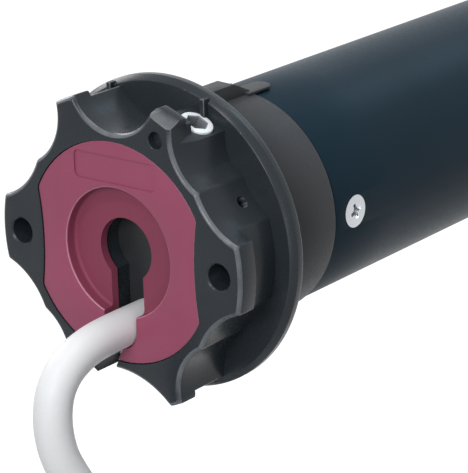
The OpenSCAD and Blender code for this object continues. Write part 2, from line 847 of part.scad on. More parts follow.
module adjusting_screw(turn) {
    color("#eef0f0") spoke(adjuster_angle + turn) translate([adjuster_x, 0, 0]) difference() {
        union() {
            translate([0, 0, adjuster_tip])
                cylinder(r = adjuster_stem_r, h = adjuster_top - adjuster_head_h + 0.5 - adjuster_tip);
            translate([0, 0, adjuster_top - adjuster_head_h + 0.2])
                cylinder(d = adjuster_d, h = adjuster_head_h - 0.2);
        }
        translate([0, 0, adjuster_top - 2.4])
            cylinder(d = adjuster_hex / cos(30), h = 3, $fn = 6);
    }
}

module capacitor() {
    color("#d8dadb") {
        disc(capacitor_x, 2, capacitor_r - 1);
        disc(capacitor_x + 1.5, capacitor_len - 1.5, capacitor_r);
        for (y = [-5, 5]) translate([capacitor_end - 0.5, y - 3, -0.4]) cube([4.5, 6, 0.8]);
    }
}

module capacitor_cradle() {
    ring_r_in = capacitor_r + seat_gap;
    strut_at = (bore_r + capacitor_r) / 2;
    strut_r = (bore_r - capacitor_r) / 2 - 1;
    start = capacitor_x + 3;
    back = capacitor_end - 3 - cradle_ring_t;
    color("#5b5f66") {
        difference() {
            union() {
                for (x = [start, back]) disc(x, cradle_ring_t, bore_r - seat_gap);
                for (a = [30, 150, 270])
                    bar(start, back - start + 1, strut_r, strut_at * [cos(a), sin(a)]);
            }
            disc(start - cut, back - start + cradle_ring_t + 2 * cut, ring_r_in);
        }
    }
}

// A disc with a hub for the bush; the hub points along side, forwards or backwards
module end_shield(x, hub_x, bush_x) {
    color("#a9adb1") difference() {
        union() {
            disc(x, shield_t, bore_r - seat_gap);
            disc(hub_x, bush_len - 2, shield_hub_r);
        }
        disc(bush_x, bush_len, bush_r + run_gap);
        disc(x - 10, 40, shaft_r + 0.5);
        for (a = [0:60:300])
            bar(x - cut, shield_t + 2 * cut, vent_r, vent_orbit * [cos(a), sin(a)]);
    }
}

front_bush_x = front_shield_x + 1;
rear_bush_x = rear_shield_x + 1;

module front_shield() {
    end_shield(front_shield_x, front_shield_x + shield_t - 1, front_bush_x);
}

module rear_shield() {
    end_shield(rear_shield_x, rear_shield_x + shield_t - 1, rear_bush_x);
}

module motor_bushes() {
    color("#b08d57") for (x = [front_bush_x, rear_bush_x])
        ring(x, bush_len, bush_r, shaft_r + run_gap);
}

// Round bars along the slots between the stator's teeth
module slot_bars(x, len, r) {
    for (i = [0:slot_count - 1]) let (a = i * 360 / slot_count)
        bar(x, len, r, slot_orbit * [cos(a), sin(a)]);
}

module stator_core() {
    color("#8b8f94") difference() {
        ring(stator_x, stator_len, bore_r - seat_gap / 2, stator_bore);
        slot_bars(stator_x - cut, stator_len + 2 * cut, slot_r);
    }
}

// The end turns, with the bars that fill the stator's slots
module stator_winding() {
    color("#a8562a") union() {
        for (x = [stator_x - winding_len + 0.5, stator_end + 0.5])
            ring(x, winding_len - 1, winding_out, winding_in);
        slot_bars(stator_x - 1, stator_len + 2, slot_r - run_gap);
    }
}

module rotor_core() {
    color("#7c8085") ring(stator_x, stator_len, rotor_r, shaft_r + run_gap / 2);
}

module rotor_shaft() {
    shoulder_x = ring_x + 2;
    color("#b9bdc1") {
        disc(shaft_x, shoulder_x - shaft_x, shaft_r);
        disc(shoulder_x - cut, sun_end - 0.2 - shoulder_x + cut, sun_bore - sun_seat_gap);
    }
}

module brake_magnet() {
    coil_in = 11;
    coil_out = brake_r - 2;
    color("#6c7075") difference() {
        disc(magnet_x, magnet_len, bore_r - seat_gap);
        disc(magnet_x - cut, magnet_len + 2 * cut, shaft_r + 1);
        disc(magnet_x + 3, magnet_len, 9.2);
        at_x(magnet_x + 2.4) difference() {
            cylinder(r = coil_out, h = magnet_len);
            translate([0, 0, -cut]) cylinder(r = coil_in, h = magnet_len + 2 * cut);
        }
    }
}

// Cone washer that presses the armature against the disc
module brake_spring() {
    color("#8f9499") at_x(magnet_x + 3.1) difference() {
        cylinder(r1 = 9, r2 = 6.6, h = magnet_len - 3.1);
        translate([0, 0, -0.7]) cylinder(r1 = 9, r2 = 6.4, h = magnet_len - 3.1);
        cylinder(r = 6.2, h = magnet_len);
    }
}

module brake_armature() {
    color("#9ca0a4") ring(armature_x, armature_t, brake_r, shaft_r + 0.6);
}

module brake_disc() {
    color("#544a40") ring(disc_x, disc_t, brake_r, shaft_r + run_gap / 2);
}

module gearbox_cover() {
    color("#a9adb1") ring(cover_x, cover_t - 0.1, bore_r - seat_gap, shaft_r + 0.6);
}

module ring_gear() {
    color("#c7c8c4") difference() {
        disc(ring_x, ring_end - ring_x, bore_r - seat_gap);
        at_x(ring_x - cut) linear_extrude(ring_end - ring_x + 2 * cut)
            inner_gear(ring_teeth, gear_module, 0);
    }
}

// The rotor's own sun gear; the others are part of the carriers
module sun_gear() {
    color("#b9bdc1") at_x(sun_x) difference() {
        linear_extrude(sun_end - sun_x) rotate(180 / sun_teeth)
            outer_gear(sun_teeth, gear_module, backlash);
        translate([0, 0, -cut]) cylinder(r = sun_bore, h = sun_end - sun_x + 2 * cut);
    }
}

module planet(stage, place) {
    color("#e8e6df") at_x(planet_x + (stage - 1) * stage_pitch)
        rotate(place * 120) translate([carrier_orbit, 0, 0]) difference() {
            linear_extrude(planet_len) outer_gear(planet_teeth, gear_module, backlash);
            translate([0, 0, -cut])
                cylinder(r = planet_pin_r + run_gap, h = planet_len + 2 * cut);
        }
}

// Plate with three pins for its planets
module carrier_plate(stage) {
    at_x((stage - 1) * stage_pitch) {
        translate([0, 0, carrier_x]) cylinder(r = carrier_r, h = carrier_t);
        for (i = [0:2]) rotate(i * 120) translate([carrier_orbit, 0, pin_start])
            cylinder(r = planet_pin_r, h = carrier_x - pin_start + 1);
    }
}

// A carrier with the sun gear of the next stage
module carrier(stage) {
    color("#c7c8c4") union() {
        carrier_plate(stage);
        at_x(carrier_x + carrier_t - cut + (stage - 1) * stage_pitch)
            linear_extrude(planet_len + cut + 2.4) rotate(180 / sun_teeth)
                outer_gear(sun_teeth, gear_module, backlash);
    }
}

// Last carrier, output shaft, and the square end that the drive wheel sits on
module output_shaft() {
    plate_x = carrier_x + 2 * stage_pitch;
    color("#aeb2b6") difference() {
        union() {
            carrier_plate(3);
            disc(plate_x + 1, cap_end - 0.4 - plate_x - 1, output_r);
            translate([cap_end - 1, -square_w / 2, -square_w / 2])
                cube([wheel_end - 0.1 - cap_end + 1, square_w, square_w]);
        }
        disc(wheel_end - wheel_screw_depth, wheel_screw_depth + cut, wheel_screw_r + run_gap);
    }
}

module output_housing() {
    pocket_r = 3;
    pocket_floor = 3;
    pocket_orbit = (output_r + bore_r) / 2;
    color("#a9adb1") difference() {
        disc(housing_x, housing_len, bore_r - seat_gap);
        disc(housing_x - cut, housing_len + 2 * cut, output_r + run_gap);
        tube_screw_places(rear_screw_x)
            cylinder(d = tube_screw_d + 2 * run_gap, h = tube_r);
        for (a = [0, 120, 240])
            bar(housing_x + pocket_floor, housing_len, pocket_r, pocket_orbit * [cos(a), sin(a)]);
    }
}

module end_cap() {
    color("#26282c") difference() {
        union() {
            disc(cap_x, cap_plug + 1, bore_r - seat_gap);
            disc(tube_end, cap_flange_t, tube_r);
        }
        disc(cap_x - cut, cap_end - cap_x + 2 * cut, output_r + move_gap);
    }
}

module drive_wheel() {
    spokes = 6;
    spoke_t = 2;
    hole_boss = 4.4;
    hole_boss_in = 14;
    web_x = wheel_x + (wheel_len - wheel_web_t) / 2;
    mid_x = wheel_x + wheel_len / 2;
    color("#3a3d42") difference() {
        union() {
            ring(wheel_x, wheel_len, wheel_r, wheel_r - wheel_wall);
            disc(web_x, wheel_web_t, wheel_r - 1);
            disc(wheel_x, wheel_len, wheel_hub_r);
            for (i = [0:spokes - 1]) spoke(key_angle + 30 + i * 360 / spokes)
                translate([wheel_x, -spoke_t / 2, wheel_hub_r - 1])
                    cube([wheel_len, spoke_t, wheel_r - wheel_hub_r - 0.5]);
            for (a = [0, 180]) spoke(a) translate([mid_x, 0, hole_boss_in])
                cylinder(r = hole_boss, h = wheel_r - hole_boss_in - 1);
            spoke(key_angle) translate([wheel_x, -key_w / 2, wheel_r - 1])
                cube([wheel_len, key_w, key_h + 1]);
        }
        translate([wheel_x - cut, -square_w / 2 - run_gap, -square_w / 2 - run_gap])
            cube([wheel_len + 2 * cut, square_w + 2 * run_gap, square_w + 2 * run_gap]);
        for (a = [0, 180]) spoke(a) translate([mid_x, 0, hole_boss_in + 1])
            cylinder(d = wheel_hole_d, h = wheel_r);
    }
}

module wheel_screw() {
    head_h = 3;
    color("#c4c7ca") difference() {
        union() {
            disc(wheel_end - wheel_screw_depth + 1, wheel_screw_depth, wheel_screw_r);
            disc(wheel_end, head_h, wheel_screw_head_r);
        }
        at_x(wheel_end + 1) cylinder(r = 2.6, h = head_h, $fn = 6);
    }
}

module mains_cable() {
    color("#f2f2f0") swept(cable_route, cable_r, cable_sides, [-1, 0, 0], [1, 0, 0]);
}

// How far the coil has gone round, 0 to 1 through its change of layer, after the spiral
function layer_of(turn) = min(floor(turn / layer_span), layer_count - 1);
function climb(s) = s * s * (3 - 2 * s);

// Point of the coil after a number of turns, and the radius and place of its layer
function coil_radius(layer, v) =
    let (
        inward = layer % 2 == 0,
        from = inward ? coil_out_r : coil_in_r,
        way = inward ? -1 : 1,
        w = (v - layer_turns) / 0.5
    )
    v <= layer_turns ? from + way * turn_pitch * v
        : from + way * turn_pitch * (layer_turns + 0.5 * w * (1 - w));

function coil_point(turn) =
    let (
        layer = layer_of(turn),
        v = turn - layer * layer_span,
        r = coil_radius(layer, v),
        up = layer + (v > layer_turns ? climb((v - layer_turns) / 0.5) : 0),
        a = 90 - turn * 360
    )
    [coil_at[0] + r * cos(a), coil_y + turn_pitch * up, coil_at[1] + r * sin(a)];

coil_path = concat(
    [coil_point(0) - [cable_d, 0, 0]],
    [for (i = [0:coil_turns * coil_steps]) coil_point(i / coil_steps)],
    [coil_point(coil_turns) - [cable_d, 0, 0]]
);
coil_gap = min([for (i = [0:len(coil_path) - 1])
    min([for (j = [0:len(coil_path) - 1])
        abs(i - j) > coil_steps / 3 ? norm(coil_path[i] - coil_path[j]) : 1000])]) - cable_d;
echo("least gap between the coil's turns, in mm", coil_gap);

module cable_coil() {
    color("#f2f2f0") swept(coil_path, cable_r, coil_sides, [1, 0, 0], [-1, 0, 0]);
}

// Two straps round the bundle, at the coil's sides
module cable_ties() {
    middle = (coil_out_r + coil_in_r) / 2;
    deep = coil_out_r - coil_in_r + cable_d + 2.2;
    wide = -2 * coil_y + cable_d + 2 * move_gap;
    lock = 4.5;
    color("#33363b") for (s = [-1, 1])
        translate([coil_at[0] + s * middle, 0, coil_at[1]]) difference() {
            union() {
                cube([deep + 2 * tie_t, wide + 2 * tie_t, tie_w], center = true);
                translate([s * (deep / 2 + lock / 2), 0, 0]) cube([lock, lock, tie_w], center = true);
            }
            cube([deep, wide, tie_w + cut], center = true);
        }
}

module cable_tail() {
    color("#f2f2f0") swept(tail_route, cable_r, cable_sides, [-1, 0, 0], [0, 0, -1]);
}

tail_end = tail_route[len(tail_route) - 1];
core_orbit = 1.7;

module core_places() {
    for (a = [45:90:315])
        translate(tail_end + core_orbit * [cos(a), sin(a), 0]) children();
}

module core_wires() {
    color("#8a5a3c") core_places() translate([0, 0, -core_len]) cylinder(r = core_r, h = core_len);
}

module core_ferrules() {
    color("#c4c7ca") core_places() translate([0, 0, -core_len - ferrule_len])
        cylinder(r = core_r * 0.8, h = ferrule_len);
}

head();
cover_plate();
cable_plug();
plug_pins();
terminal_socket();
mains_cable();
cable_coil();
cable_ties();
cable_tail();
core_wires();
core_ferrules();
neck_screws();
tube_adapter();
motor_tube();
tube_screws(tube_screw_x, spigot_r + 0.4);  // tube_screws_front
tube_screws(rear_screw_x, output_r + 4);  // tube_screws_rear
limit_frame();
limit_switches();
switch_lever(0);  // lever_up
switch_lever(1);  // lever_down
crown_ring();
crown_pinion();
reduction_gear();
cam_wheel(0, 60, "#e9e4d2");  // cam_wheel_up
cam_wheel(1, 120, "#d9b84a");  // cam_wheel_down
adjusting_screw(0);  // adjusting_screw_up
adjusting_screw(180);  // adjusting_screw_down
capacitor();
capacitor_cradle();
front_shield();
rear_shield();
motor_bushes();
stator_core();
stator_winding();
rotor_core();
rotor_shaft();
brake_magnet();
brake_spring();
brake_armature();
brake_disc();
gearbox_cover();
ring_gear();
sun_gear();
planet(1, 0);  // planet_1a
planet(1, 1);  // planet_1b
planet(1, 2);  // planet_1c
carrier(1);  // carrier_1
planet(2, 0);  // planet_2a
planet(2, 1);  // planet_2b
planet(2, 2);  // planet_2c
carrier(2);  // carrier_2
planet(3, 0);  // planet_3a
planet(3, 1);  // planet_3b
planet(3, 2);  // planet_3c
output_shaft();
output_housing();
end_cap();
drive_wheel();
wheel_screw();
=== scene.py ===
"""Studio scene of a tubular motor for a roller blind.

Each class below holds the sizes of one sub-assembly, builds its surfaces with numpy and
dresses them. Their sizes are in millimetres and become metres when a mesh is made, and
the studio's are in metres where it says so. X runs along the motor from the head to the
drive wheel, Z points up, and angles go from +Y towards +Z.
"""

import json
import logging
import math
from dataclasses import dataclass, field
from enum import Enum
from typing import Callable, Dict, List, Optional, Sequence, Tuple

import bmesh
import bpy
import numpy as np
from mathutils import Matrix, Vector

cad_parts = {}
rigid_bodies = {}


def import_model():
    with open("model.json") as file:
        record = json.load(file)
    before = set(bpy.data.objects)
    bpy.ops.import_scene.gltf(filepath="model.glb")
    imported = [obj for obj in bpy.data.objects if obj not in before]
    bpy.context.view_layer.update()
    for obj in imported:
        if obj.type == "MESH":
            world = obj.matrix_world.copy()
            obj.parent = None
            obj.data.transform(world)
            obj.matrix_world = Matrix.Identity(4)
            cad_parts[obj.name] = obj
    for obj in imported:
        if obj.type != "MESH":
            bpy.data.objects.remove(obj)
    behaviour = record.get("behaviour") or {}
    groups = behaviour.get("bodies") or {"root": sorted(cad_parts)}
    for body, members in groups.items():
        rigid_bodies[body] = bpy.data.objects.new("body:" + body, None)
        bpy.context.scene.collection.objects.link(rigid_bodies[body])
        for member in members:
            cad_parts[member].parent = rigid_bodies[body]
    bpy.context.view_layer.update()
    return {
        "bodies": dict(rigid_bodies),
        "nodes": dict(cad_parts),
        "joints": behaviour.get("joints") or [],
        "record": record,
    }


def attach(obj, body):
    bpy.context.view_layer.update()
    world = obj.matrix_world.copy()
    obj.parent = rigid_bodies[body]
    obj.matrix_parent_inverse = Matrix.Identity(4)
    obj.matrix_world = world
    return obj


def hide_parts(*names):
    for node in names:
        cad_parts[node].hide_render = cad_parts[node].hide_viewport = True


LOG = logging.getLogger("blind_motor")
MM = 0.001
Colour = Tuple[float, float, float]
Surface = Tuple[np.ndarray, List]
Profile = Sequence[Tuple[float, object]]


def srgb(red: float, green: float, blue: float) -> Colour:
    """Linear colour of an sRGB one.

    Args:
        red: Red from 0 to 255.
        green: Green from 0 to 255.
        blue: Blue from 0 to 255.

    Returns:
        The three linear channels.
    """
    c = np.array([red, green, blue], float) / 255
    low, high = c / 12.92, ((c + 0.055) / 1.055) ** 2.4
    return tuple(float(v) for v in np.where(c <= 0.04045, low, high))


# Surfaces.


def turn(points: np.ndarray, angle: float) -> np.ndarray:
    """Points turned about X, so that +Z goes to an angle counted from +Y towards +Z.

    Args:
        points: Array whose last axis holds x, y and z.
        angle: Degrees from +Y.

    Returns:
        The turned points.
    """
    a = math.radians(angle - 90)
    c, s = math.cos(a), math.sin(a)
    x, y, z = points[..., 0], points[..., 1], points[..., 2]
    return np.stack([x, y * c - z * s, y * s + z * c], -1)


def turned(surface: Surface, angle: float) -> Surface:
    """A surface with its points turned about X."""
    return turn(surface[0], angle), surface[1]


def around(count: int) -> np.ndarray:
    """Angles of a full turn, in radians, without the last."""
    return np.arange(count) * 2 * math.pi / count


def lathe(profile: Profile, steps: int) -> np.ndarray:
    """Rings about the X axis: the point at (x, r) of the profile goes to (x, r cos, r sin).

    Args:
        profile: Pairs of x and radius, or of x and one radius for each angle.
        steps: Points of each ring.

    Returns:
        Array of rings by points by 3.
    """
    a = around(steps)
    reach = np.stack([np.broadcast_to(r, a.shape) for _, r in profile])
    x = np.repeat([[float(x)] for x, _ in profile], steps, 1)
    return np.stack([x, reach * np.cos(a), reach * np.sin(a)], -1)


def sweep(path: np.ndarray, radius: float, sides: int, first: Vector, last: Vector) -> np.ndarray:
    """Rings of a round tube along a path, with each ring square to the path's direction.

    Args:
        path: Points of the centre line.
        radius: Radius of the tube.
        sides: Points of each ring.
        first: Direction at the start.
        last: Direction at the end.

    Returns:
        Array of rings by points by 3.
    """
    t = np.empty_like(path)
    t[1:-1] = path[2:] - path[:-2]
    t[0], t[-1] = first, last
    t /= np.linalg.norm(t, axis=1, keepdims=True)
    side = np.array([0.0, 1.0, 0.0]) - t[:, 1:2] * t
    side /= np.linalg.norm(side, axis=1, keepdims=True)
    third = np.cross(t, side)
    a = around(sides)[None, :, None]
    return path[:, None] + radius * (np.cos(a) * side[:, None] + np.sin(a) * third[:, None])


def skin(rings: np.ndarray, wrap: bool = False) -> Surface:
    """Vertices and faces of the closed surface through a stack of rings.

    Neighbouring rings are joined by quads: ring i, point k goes with ring i + 1, point k + 1.

    Args:
        rings: Array of rings by points by 3.
        wrap: Joins the last ring to the first one. Without it both get a face each.

    Returns:
        Vertices, and faces as index lists.
    """
    n, m = rings.shape[:2]
    i = np.arange(n if wrap else n - 1)[:, None]
    k = np.arange(m)[None, :]
    j, l = (i + 1) % n, (k + 1) % m
    quads = np.stack([i * m + k, i * m + l, j * m + l, j * m + k], -1).reshape(-1, 4)
    faces = quads.tolist()
    if not wrap:
        faces.append(list(range(m)))
        faces.append(list(range((n - 1) * m, n * m)))
    return rings.reshape(-1, 3), faces


def drill(profile: Profile, y: float, z: float, steps: int) -> Surface:
    """Turned form along X whose axis lies at (y, z)."""
    return skin(lathe(profile, steps) + np.array([0.0, y, z]))


def stand(surface: Surface, x: float, angle: float) -> Surface:
    """Stands a form that was made about X on the motor's axis.

    A point (h, p, q) goes to (p + x, q, h), and then turns about X to the angle.

    Args:
        surface: Vertices and faces of the form.
        x: Place along the motor.
        angle: Direction of the form's own axis, in degrees from +Y.

    Returns:
        Vertices and faces.
    """
    v, f = surface
    return turn(np.column_stack([v[:, 1] + x, v[:, 2], v[:, 0]]), angle), f


def post(profile: Profile, x: float, angle: float, steps: int) -> Surface:
    """Round post or hole that stands on the motor's axis.

    Args:
        profile: Pairs of height above the axis and radius.
        x: Place along the motor.
        angle: Direction in degrees from +Y.
        steps: Points round it.

    Returns:
        Vertices and faces.
    """
    return stand(skin(lathe(profile, steps)), x, angle)


def ring_of(x: float, outline: np.ndarray) -> np.ndarray:
    """An outline of (y, z) points put at place x."""
    return np.column_stack([np.full(len(outline), x), outline])


def prism(outline: np.ndarray, x0: float, x1: float) -> Surface:
    """Straight prism over an outline of (y, z) points, from x0 to x1."""
    return skin(np.stack([ring_of(x, outline) for x in (x0, x1)]))


def slab(low: Sequence[float], high: Sequence[float], soft: float = 0.0) -> Surface:
    """Box between two corners, with its edges cut back by soft.

    Each ring is the rectangle with its corners cut, drawn in at the two ends.

    Args:
        low: Lowest corner.
        high: Highest corner.
        soft: Width of the cut edges.

    Returns:
        Vertices and faces.
    """
    (x0, y0, z0), (x1, y1, z1), s = low, high, soft
    if s == 0:
        return prism(np.array([[y0, z0], [y1, z0], [y1, z1], [y0, z1]]), x0, x1)
    corner = np.array([[y0 + s, z0], [y1 - s, z0], [y1, z0 + s], [y1, z1 - s],
                       [y1 - s, z1], [y0 + s, z1], [y0, z1 - s], [y0, z0 + s]])
    mid = np.array([(y0 + y1) / 2, (z0 + z1) / 2])
    half = np.array([(y1 - y0) / 2, (z1 - z0) / 2])
    inner = mid + (corner - mid) * (half - s) / half
    rows = [(x0, inner), (x0 + s, corner), (x1 - s, corner), (x1, inner)]
    return skin(np.stack([ring_of(x, row) for x, row in rows]))


def arc(cy: float, cz: float, r: float, a0: float, a1: float, steps: int) -> np.ndarray:
    """Points (y, z) of an arc from angle a0 to a1, in degrees."""
    a = np.radians(np.linspace(a0, a1, steps))
    return np.column_stack([cy + r * np.cos(a), cz + r * np.sin(a)])


def rounded(y: float, z0: float, z1: float, radius: float, steps: int) -> np.ndarray:
    """Rectangle with round corners, as (y, z) points: a quarter arc at each corner.

    Args:
        y: Distance of the arcs' middles to both sides.
        z0: Height of the lower middles.
        z1: Height of the upper middles.
        radius: Radius of the corners.
        steps: Points of each corner.

    Returns:
        Array of points by 2.
    """
    corners = ((y, z1, 0), (-y, z1, 90), (-y, z0, 180), (y, z0, 270))
    return np.vstack([arc(cy, cz, radius, q, q + 90, steps) for cy, cz, q in corners])


def outward(outline: np.ndarray) -> np.ndarray:
    """Unit normals of a closed outline that runs from +Y towards +Z.

    The normal at a point is the direction between its neighbours turned by -90 degrees.

    Args:
        outline: Array of points by 2.

    Returns:
        Array of points by 2.
    """
    d = np.roll(outline, -1, 0) - np.roll(outline, 1, 0)
    d /= np.linalg.norm(d, axis=1, keepdims=True)
    return np.column_stack([d[:, 1], -d[:, 0]])


def quarter(steps: int) -> List[Tuple[float, float]]:
    """Pairs (1 - cos t, 1 - sin t) over a quarter turn, which round a corner of radius 1."""
    return [(1 - math.cos(t), 1 - math.sin(t)) for t in np.linspace(0, math.pi / 2, steps)]


def hexagon(steps: int, across: float) -> np.ndarray:
    """Reach of a hexagon along each angle of a ring.

    It is half the width across flats over the cosine of the angle to the nearest flat.

    Args:
        steps: Points of the ring.
        across: Width across flats.

    Returns:
        One radius for each angle.
    """
    return across / 2 / np.cos(np.radians((np.degrees(around(steps)) + 30) % 60 - 30))


def ray_to_circle(angle: np.ndarray, cy: float, cz: float, r: float) -> np.ndarray:
    """Distance from the axis to the near side of a circle, along each angle.

    The root is t = p - sqrt(p p - c c + r r), where p is the centre's reach along the ray.
    Rays that miss the circle get a large number.

    Args:
        angle: Angles in radians.
        cy: Circle's middle along Y.
        cz: Circle's middle along Z.
        r: Circle's radius.

    Returns:
        One distance for each angle.
    """
    p = cy * np.cos(angle) + cz * np.sin(angle)
    d = p * p - (cy * cy + cz * cz) + r * r
    hit = (d > 0) & (p > 0)
    return np.where(hit, p - np.sqrt(np.where(hit, d, 0)), 1e3)


def soft_least(a: np.ndarray, b: np.ndarray, blend: float) -> np.ndarray:
    """Least of two, with the corner between them rounded over the blend distance."""
    h = np.clip(blend - np.abs(a - b), 0, None) / blend
    return np.minimum(a, b) - h * h * blend / 4


# Meshes.

# Edges that turn by more than this many degrees stay sharp, and by more than the second
# on a piece that got a bevel.
SHARP = 32.0
SHARP_AFTER_BEVEL = 50.0
# Points that are nearer than this, in metres, become one.
DOUBLES = 2e-6
# An edge's mark, which lightens it both as rubbing and as a painted highlight, starts at this
# bend and is full after the span, in radians per millimetre, with the faces' middles taken as
# no nearer than the gap. The two fades take it off faces that look sideways and off flat ends.
BEND_START, BEND_SPAN, LEAST_GAP = 0.3, 0.4, 0.08
SIDE_FADE, END_FADE = 2.5, 12.0


def placed(name: str, data: bpy.types.ID) -> bpy.types.Object:
    """A new object in the scene that shows a mesh, lamp or camera.

    Args:
        name: Name of the object.
        data: What it shows.

    Returns:
        The object.
    """
    obj = bpy.data.objects.new(name, data)
    bpy.context.scene.collection.objects.link(obj)
    return obj


def body(name: str, *parts: Surface, sharp: float = SHARP) -> bpy.types.Object:
    """One object, in metres, from one or more closed surfaces given in millimetres.

    Args:
        name: Name of the object.
        parts: Vertices and faces of each surface.
        sharp: Edges that turn by more than this many degrees stay sharp.

    Returns:
        The object, linked to the scene.
    """
    verts, faces, base = [], [], 0
    for v, f in parts:
        verts.append(v)
        faces.extend([[i + base for i in face] for face in f])
        base += len(v)
    mesh = bpy.data.meshes.new(name)
    mesh.from_pydata((np.vstack(verts) * MM).tolist(), [], faces)
    tidy(mesh)
    finish_edges(mesh, sharp)
    return placed(name, mesh)


def tidy(mesh: bpy.types.Mesh) -> None:
    """Merges doubles and turns every face outwards.

    Args:
        mesh: The mesh to change.
    """
    bm = bmesh.new()
    bm.from_mesh(mesh)
    bmesh.ops.remove_doubles(bm, verts=bm.verts, dist=DOUBLES)
    bmesh.ops.recalc_face_normals(bm, faces=bm.faces)
    bm.to_mesh(mesh)
    bm.free()


def finish_edges(mesh: bpy.types.Mesh, sharp: float) -> None:
    """Smooth shading with sharp edges past an angle in degrees."""
    mesh.shade_smooth()
    mesh.set_sharp_from_angle(angle=math.radians(sharp))


def read(items: bpy.types.bpy_prop_collection, name: str, width: int = 1,
         kind: type = float) -> np.ndarray:
    """One property of all points, corners or faces of a mesh.

    Args:
        items: The mesh's collection.
        name: Name of the property.
        width: Numbers that each item holds.
        kind: Type of the numbers.

    Returns:
        A flat array, or one row per item where width is more than 1.
    """
    values = np.empty(len(items) * width, kind)
    items.foreach_get(name, values)
    return values if width == 1 else values.reshape(-1, width)


def mark_wear_and_highlight(mesh: bpy.types.Mesh) -> None:
    """Writes how strongly each corner lies on a rounded outer edge, for rubbed edges with a painted
    highlight.

    Over an edge between two faces the bend is the angle between their normals divided by
    the distance between their middles, and it counts where the faces fall away from each
    other. A point takes the largest bend round it and a face its second largest, which is
    high only on the narrow strips of a rounding. A corner gets the product of the two, each
    brought to the range 0 to 1, where its face slants between an end and a side.

    Args:
        mesh: The mesh, which gets the attribute edge_wear_and_highlight.
    """
    count = len(mesh.polygons)
    edge = read(mesh.loops, "edge_index", kind=np.int32)
    corner = read(mesh.loops, "vertex_index", kind=np.int32)
    face = np.repeat(np.arange(count), read(mesh.polygons, "loop_total", kind=np.int32))
    middle = read(mesh.polygons, "center", 3) / MM
    normal = read(mesh.polygons, "normal", 3)
    order = np.argsort(edge, kind="stable")
    shared = edge[order[:-1]] == edge[order[1:]]
    pair, mate = order[:-1][shared], order[1:][shared]
    a, b = face[pair], face[mate]
    angle = np.arccos(np.clip((normal[a] * normal[b]).sum(1), -1, 1))
    apart = middle[b] - middle[a]
    gap = np.maximum(np.linalg.norm(apart, axis=1), LEAST_GAP)
    bend = np.where((normal[a] * apart).sum(1) < 0, angle / gap, 0)
    bend = np.clip((bend - BEND_START) / BEND_SPAN, 0, 1)
    point = np.zeros(len(mesh.vertices))
    for index in (pair, mate):
        np.maximum.at(point, corner[index], bend)
    both, value = np.concatenate([a, b]), np.concatenate([bend, bend])
    order = np.lexsort((value, both))
    both, value = both[order], value[order]
    second = np.maximum(np.searchsorted(both, np.arange(count), side="right") - 2, 0)
    strip = np.where(both[second] == np.arange(count), value[second], 0)
    slant = np.abs(normal[:, 0])
    strip = strip * np.clip(slant * SIDE_FADE, 0, 1) * np.clip((1 - slant) * END_FADE, 0, 1)
    layer = mesh.attributes.new("edge_wear_and_highlight", "FLOAT", "CORNER")
    layer.data.foreach_set("value", (point[corner] * strip[face]).astype(np.float32))


def settle(piece: bpy.types.Object, mod: bpy.types.Modifier, sharp: float) -> None:
    """Applies a modifier to a piece.

    Args:
        piece: The object, which gets the changed mesh.
        mod: Its only modifier.
        sharp: Angle past which an edge stays sharp, in degrees.
    """
    bpy.context.view_layer.update()
    done = piece.evaluated_get(bpy.context.evaluated_depsgraph_get())
    mesh = bpy.data.meshes.new_from_object(done)
    piece.modifiers.remove(mod)
    old, piece.data = piece.data, mesh
    mesh.name = piece.name
    bpy.data.meshes.remove(old)
    finish_edges(mesh, sharp)


class Carving(Enum):
    """What a tool shape does to the piece."""

    CUT = "DIFFERENCE"
    JOIN = "UNION"


def carve(piece: bpy.types.Object, tool: Surface, kind: Carving = Carving.CUT) -> None:
    """Cuts a closed surface out of a piece, or joins it on.

    Args:
        piece: The object to change.
        tool: Vertices and faces in millimetres.
        kind: Cut or join.
    """
    cutter = body("tool", tool)
    mod = piece.modifiers.new("carve", "BOOLEAN")
    mod.operation, mod.object, mod.solver = kind.value, cutter, "EXACT"
    settle(piece, mod, SHARP)
    bpy.data.meshes.remove(cutter.data)


def soften(piece: bpy.types.Object, width: float, angle: float) -> None:
    """Rounds a piece's sharp edges with a bevel of two steps.

    Args:
        piece: The object.
        width: Width of the bevel in millimetres.
        angle: Edges that turn by more than this many degrees are rounded.
    """
    mod = piece.modifiers.new("soft_edges", "BEVEL")
    mod.width, mod.segments, mod.limit_method = width * MM, 2, "ANGLE"
    mod.angle_limit, mod.use_clamp_overlap = math.radians(angle), True
    mod.harden_normals = False
    settle(piece, mod, SHARP_AFTER_BEVEL)


# Finishes.


def make_group(name: str, inputs: Sequence[Tuple[str, str, object]],
               outputs: Sequence[Tuple[str, str]],
               fill: Callable[[bpy.types.NodeTree, Dict, Dict], None]) -> bpy.types.NodeTree:
    """Builds a shader node group once.

    Args:
        name: Name of the group.
        inputs: Name, socket type and default of each input.
        outputs: Name and socket type of each output.
        fill: Called with the tree and its two boundary nodes' sockets.

    Returns:
        The node tree.
    """
    tree = bpy.data.node_groups.new(name, "ShaderNodeTree")
    for label, kind, value in inputs:
        sock = tree.interface.new_socket(name=label, in_out="INPUT", socket_type=kind)
        sock.default_value = value
    for label, kind in outputs:
        tree.interface.new_socket(name=label, in_out="OUTPUT", socket_type=kind)
    start, end = tree.nodes.new("NodeGroupInput"), tree.nodes.new("NodeGroupOutput")
    fill(tree, start.outputs, end.inputs)
    return tree


def node(tree: bpy.types.NodeTree, kind: str, settings: Optional[Dict] = None,
         **links: object) -> bpy.types.Node:
    """Adds a node, sets its properties and connects or sets its inputs.

    Args:
        tree: The tree that gets the node.
        kind: Type of the node.
        settings: Properties of the node.
        links: Input names, with spaces as underscores, to a socket or a value.

    Returns:
        The node.
    """
    made = tree.nodes.new(kind)
    for key, value in (settings or {}).items():
        setattr(made, key, value)
    for key, value in links.items():
        put(tree, made.inputs[key.replace("_", " ")], value)
    return made


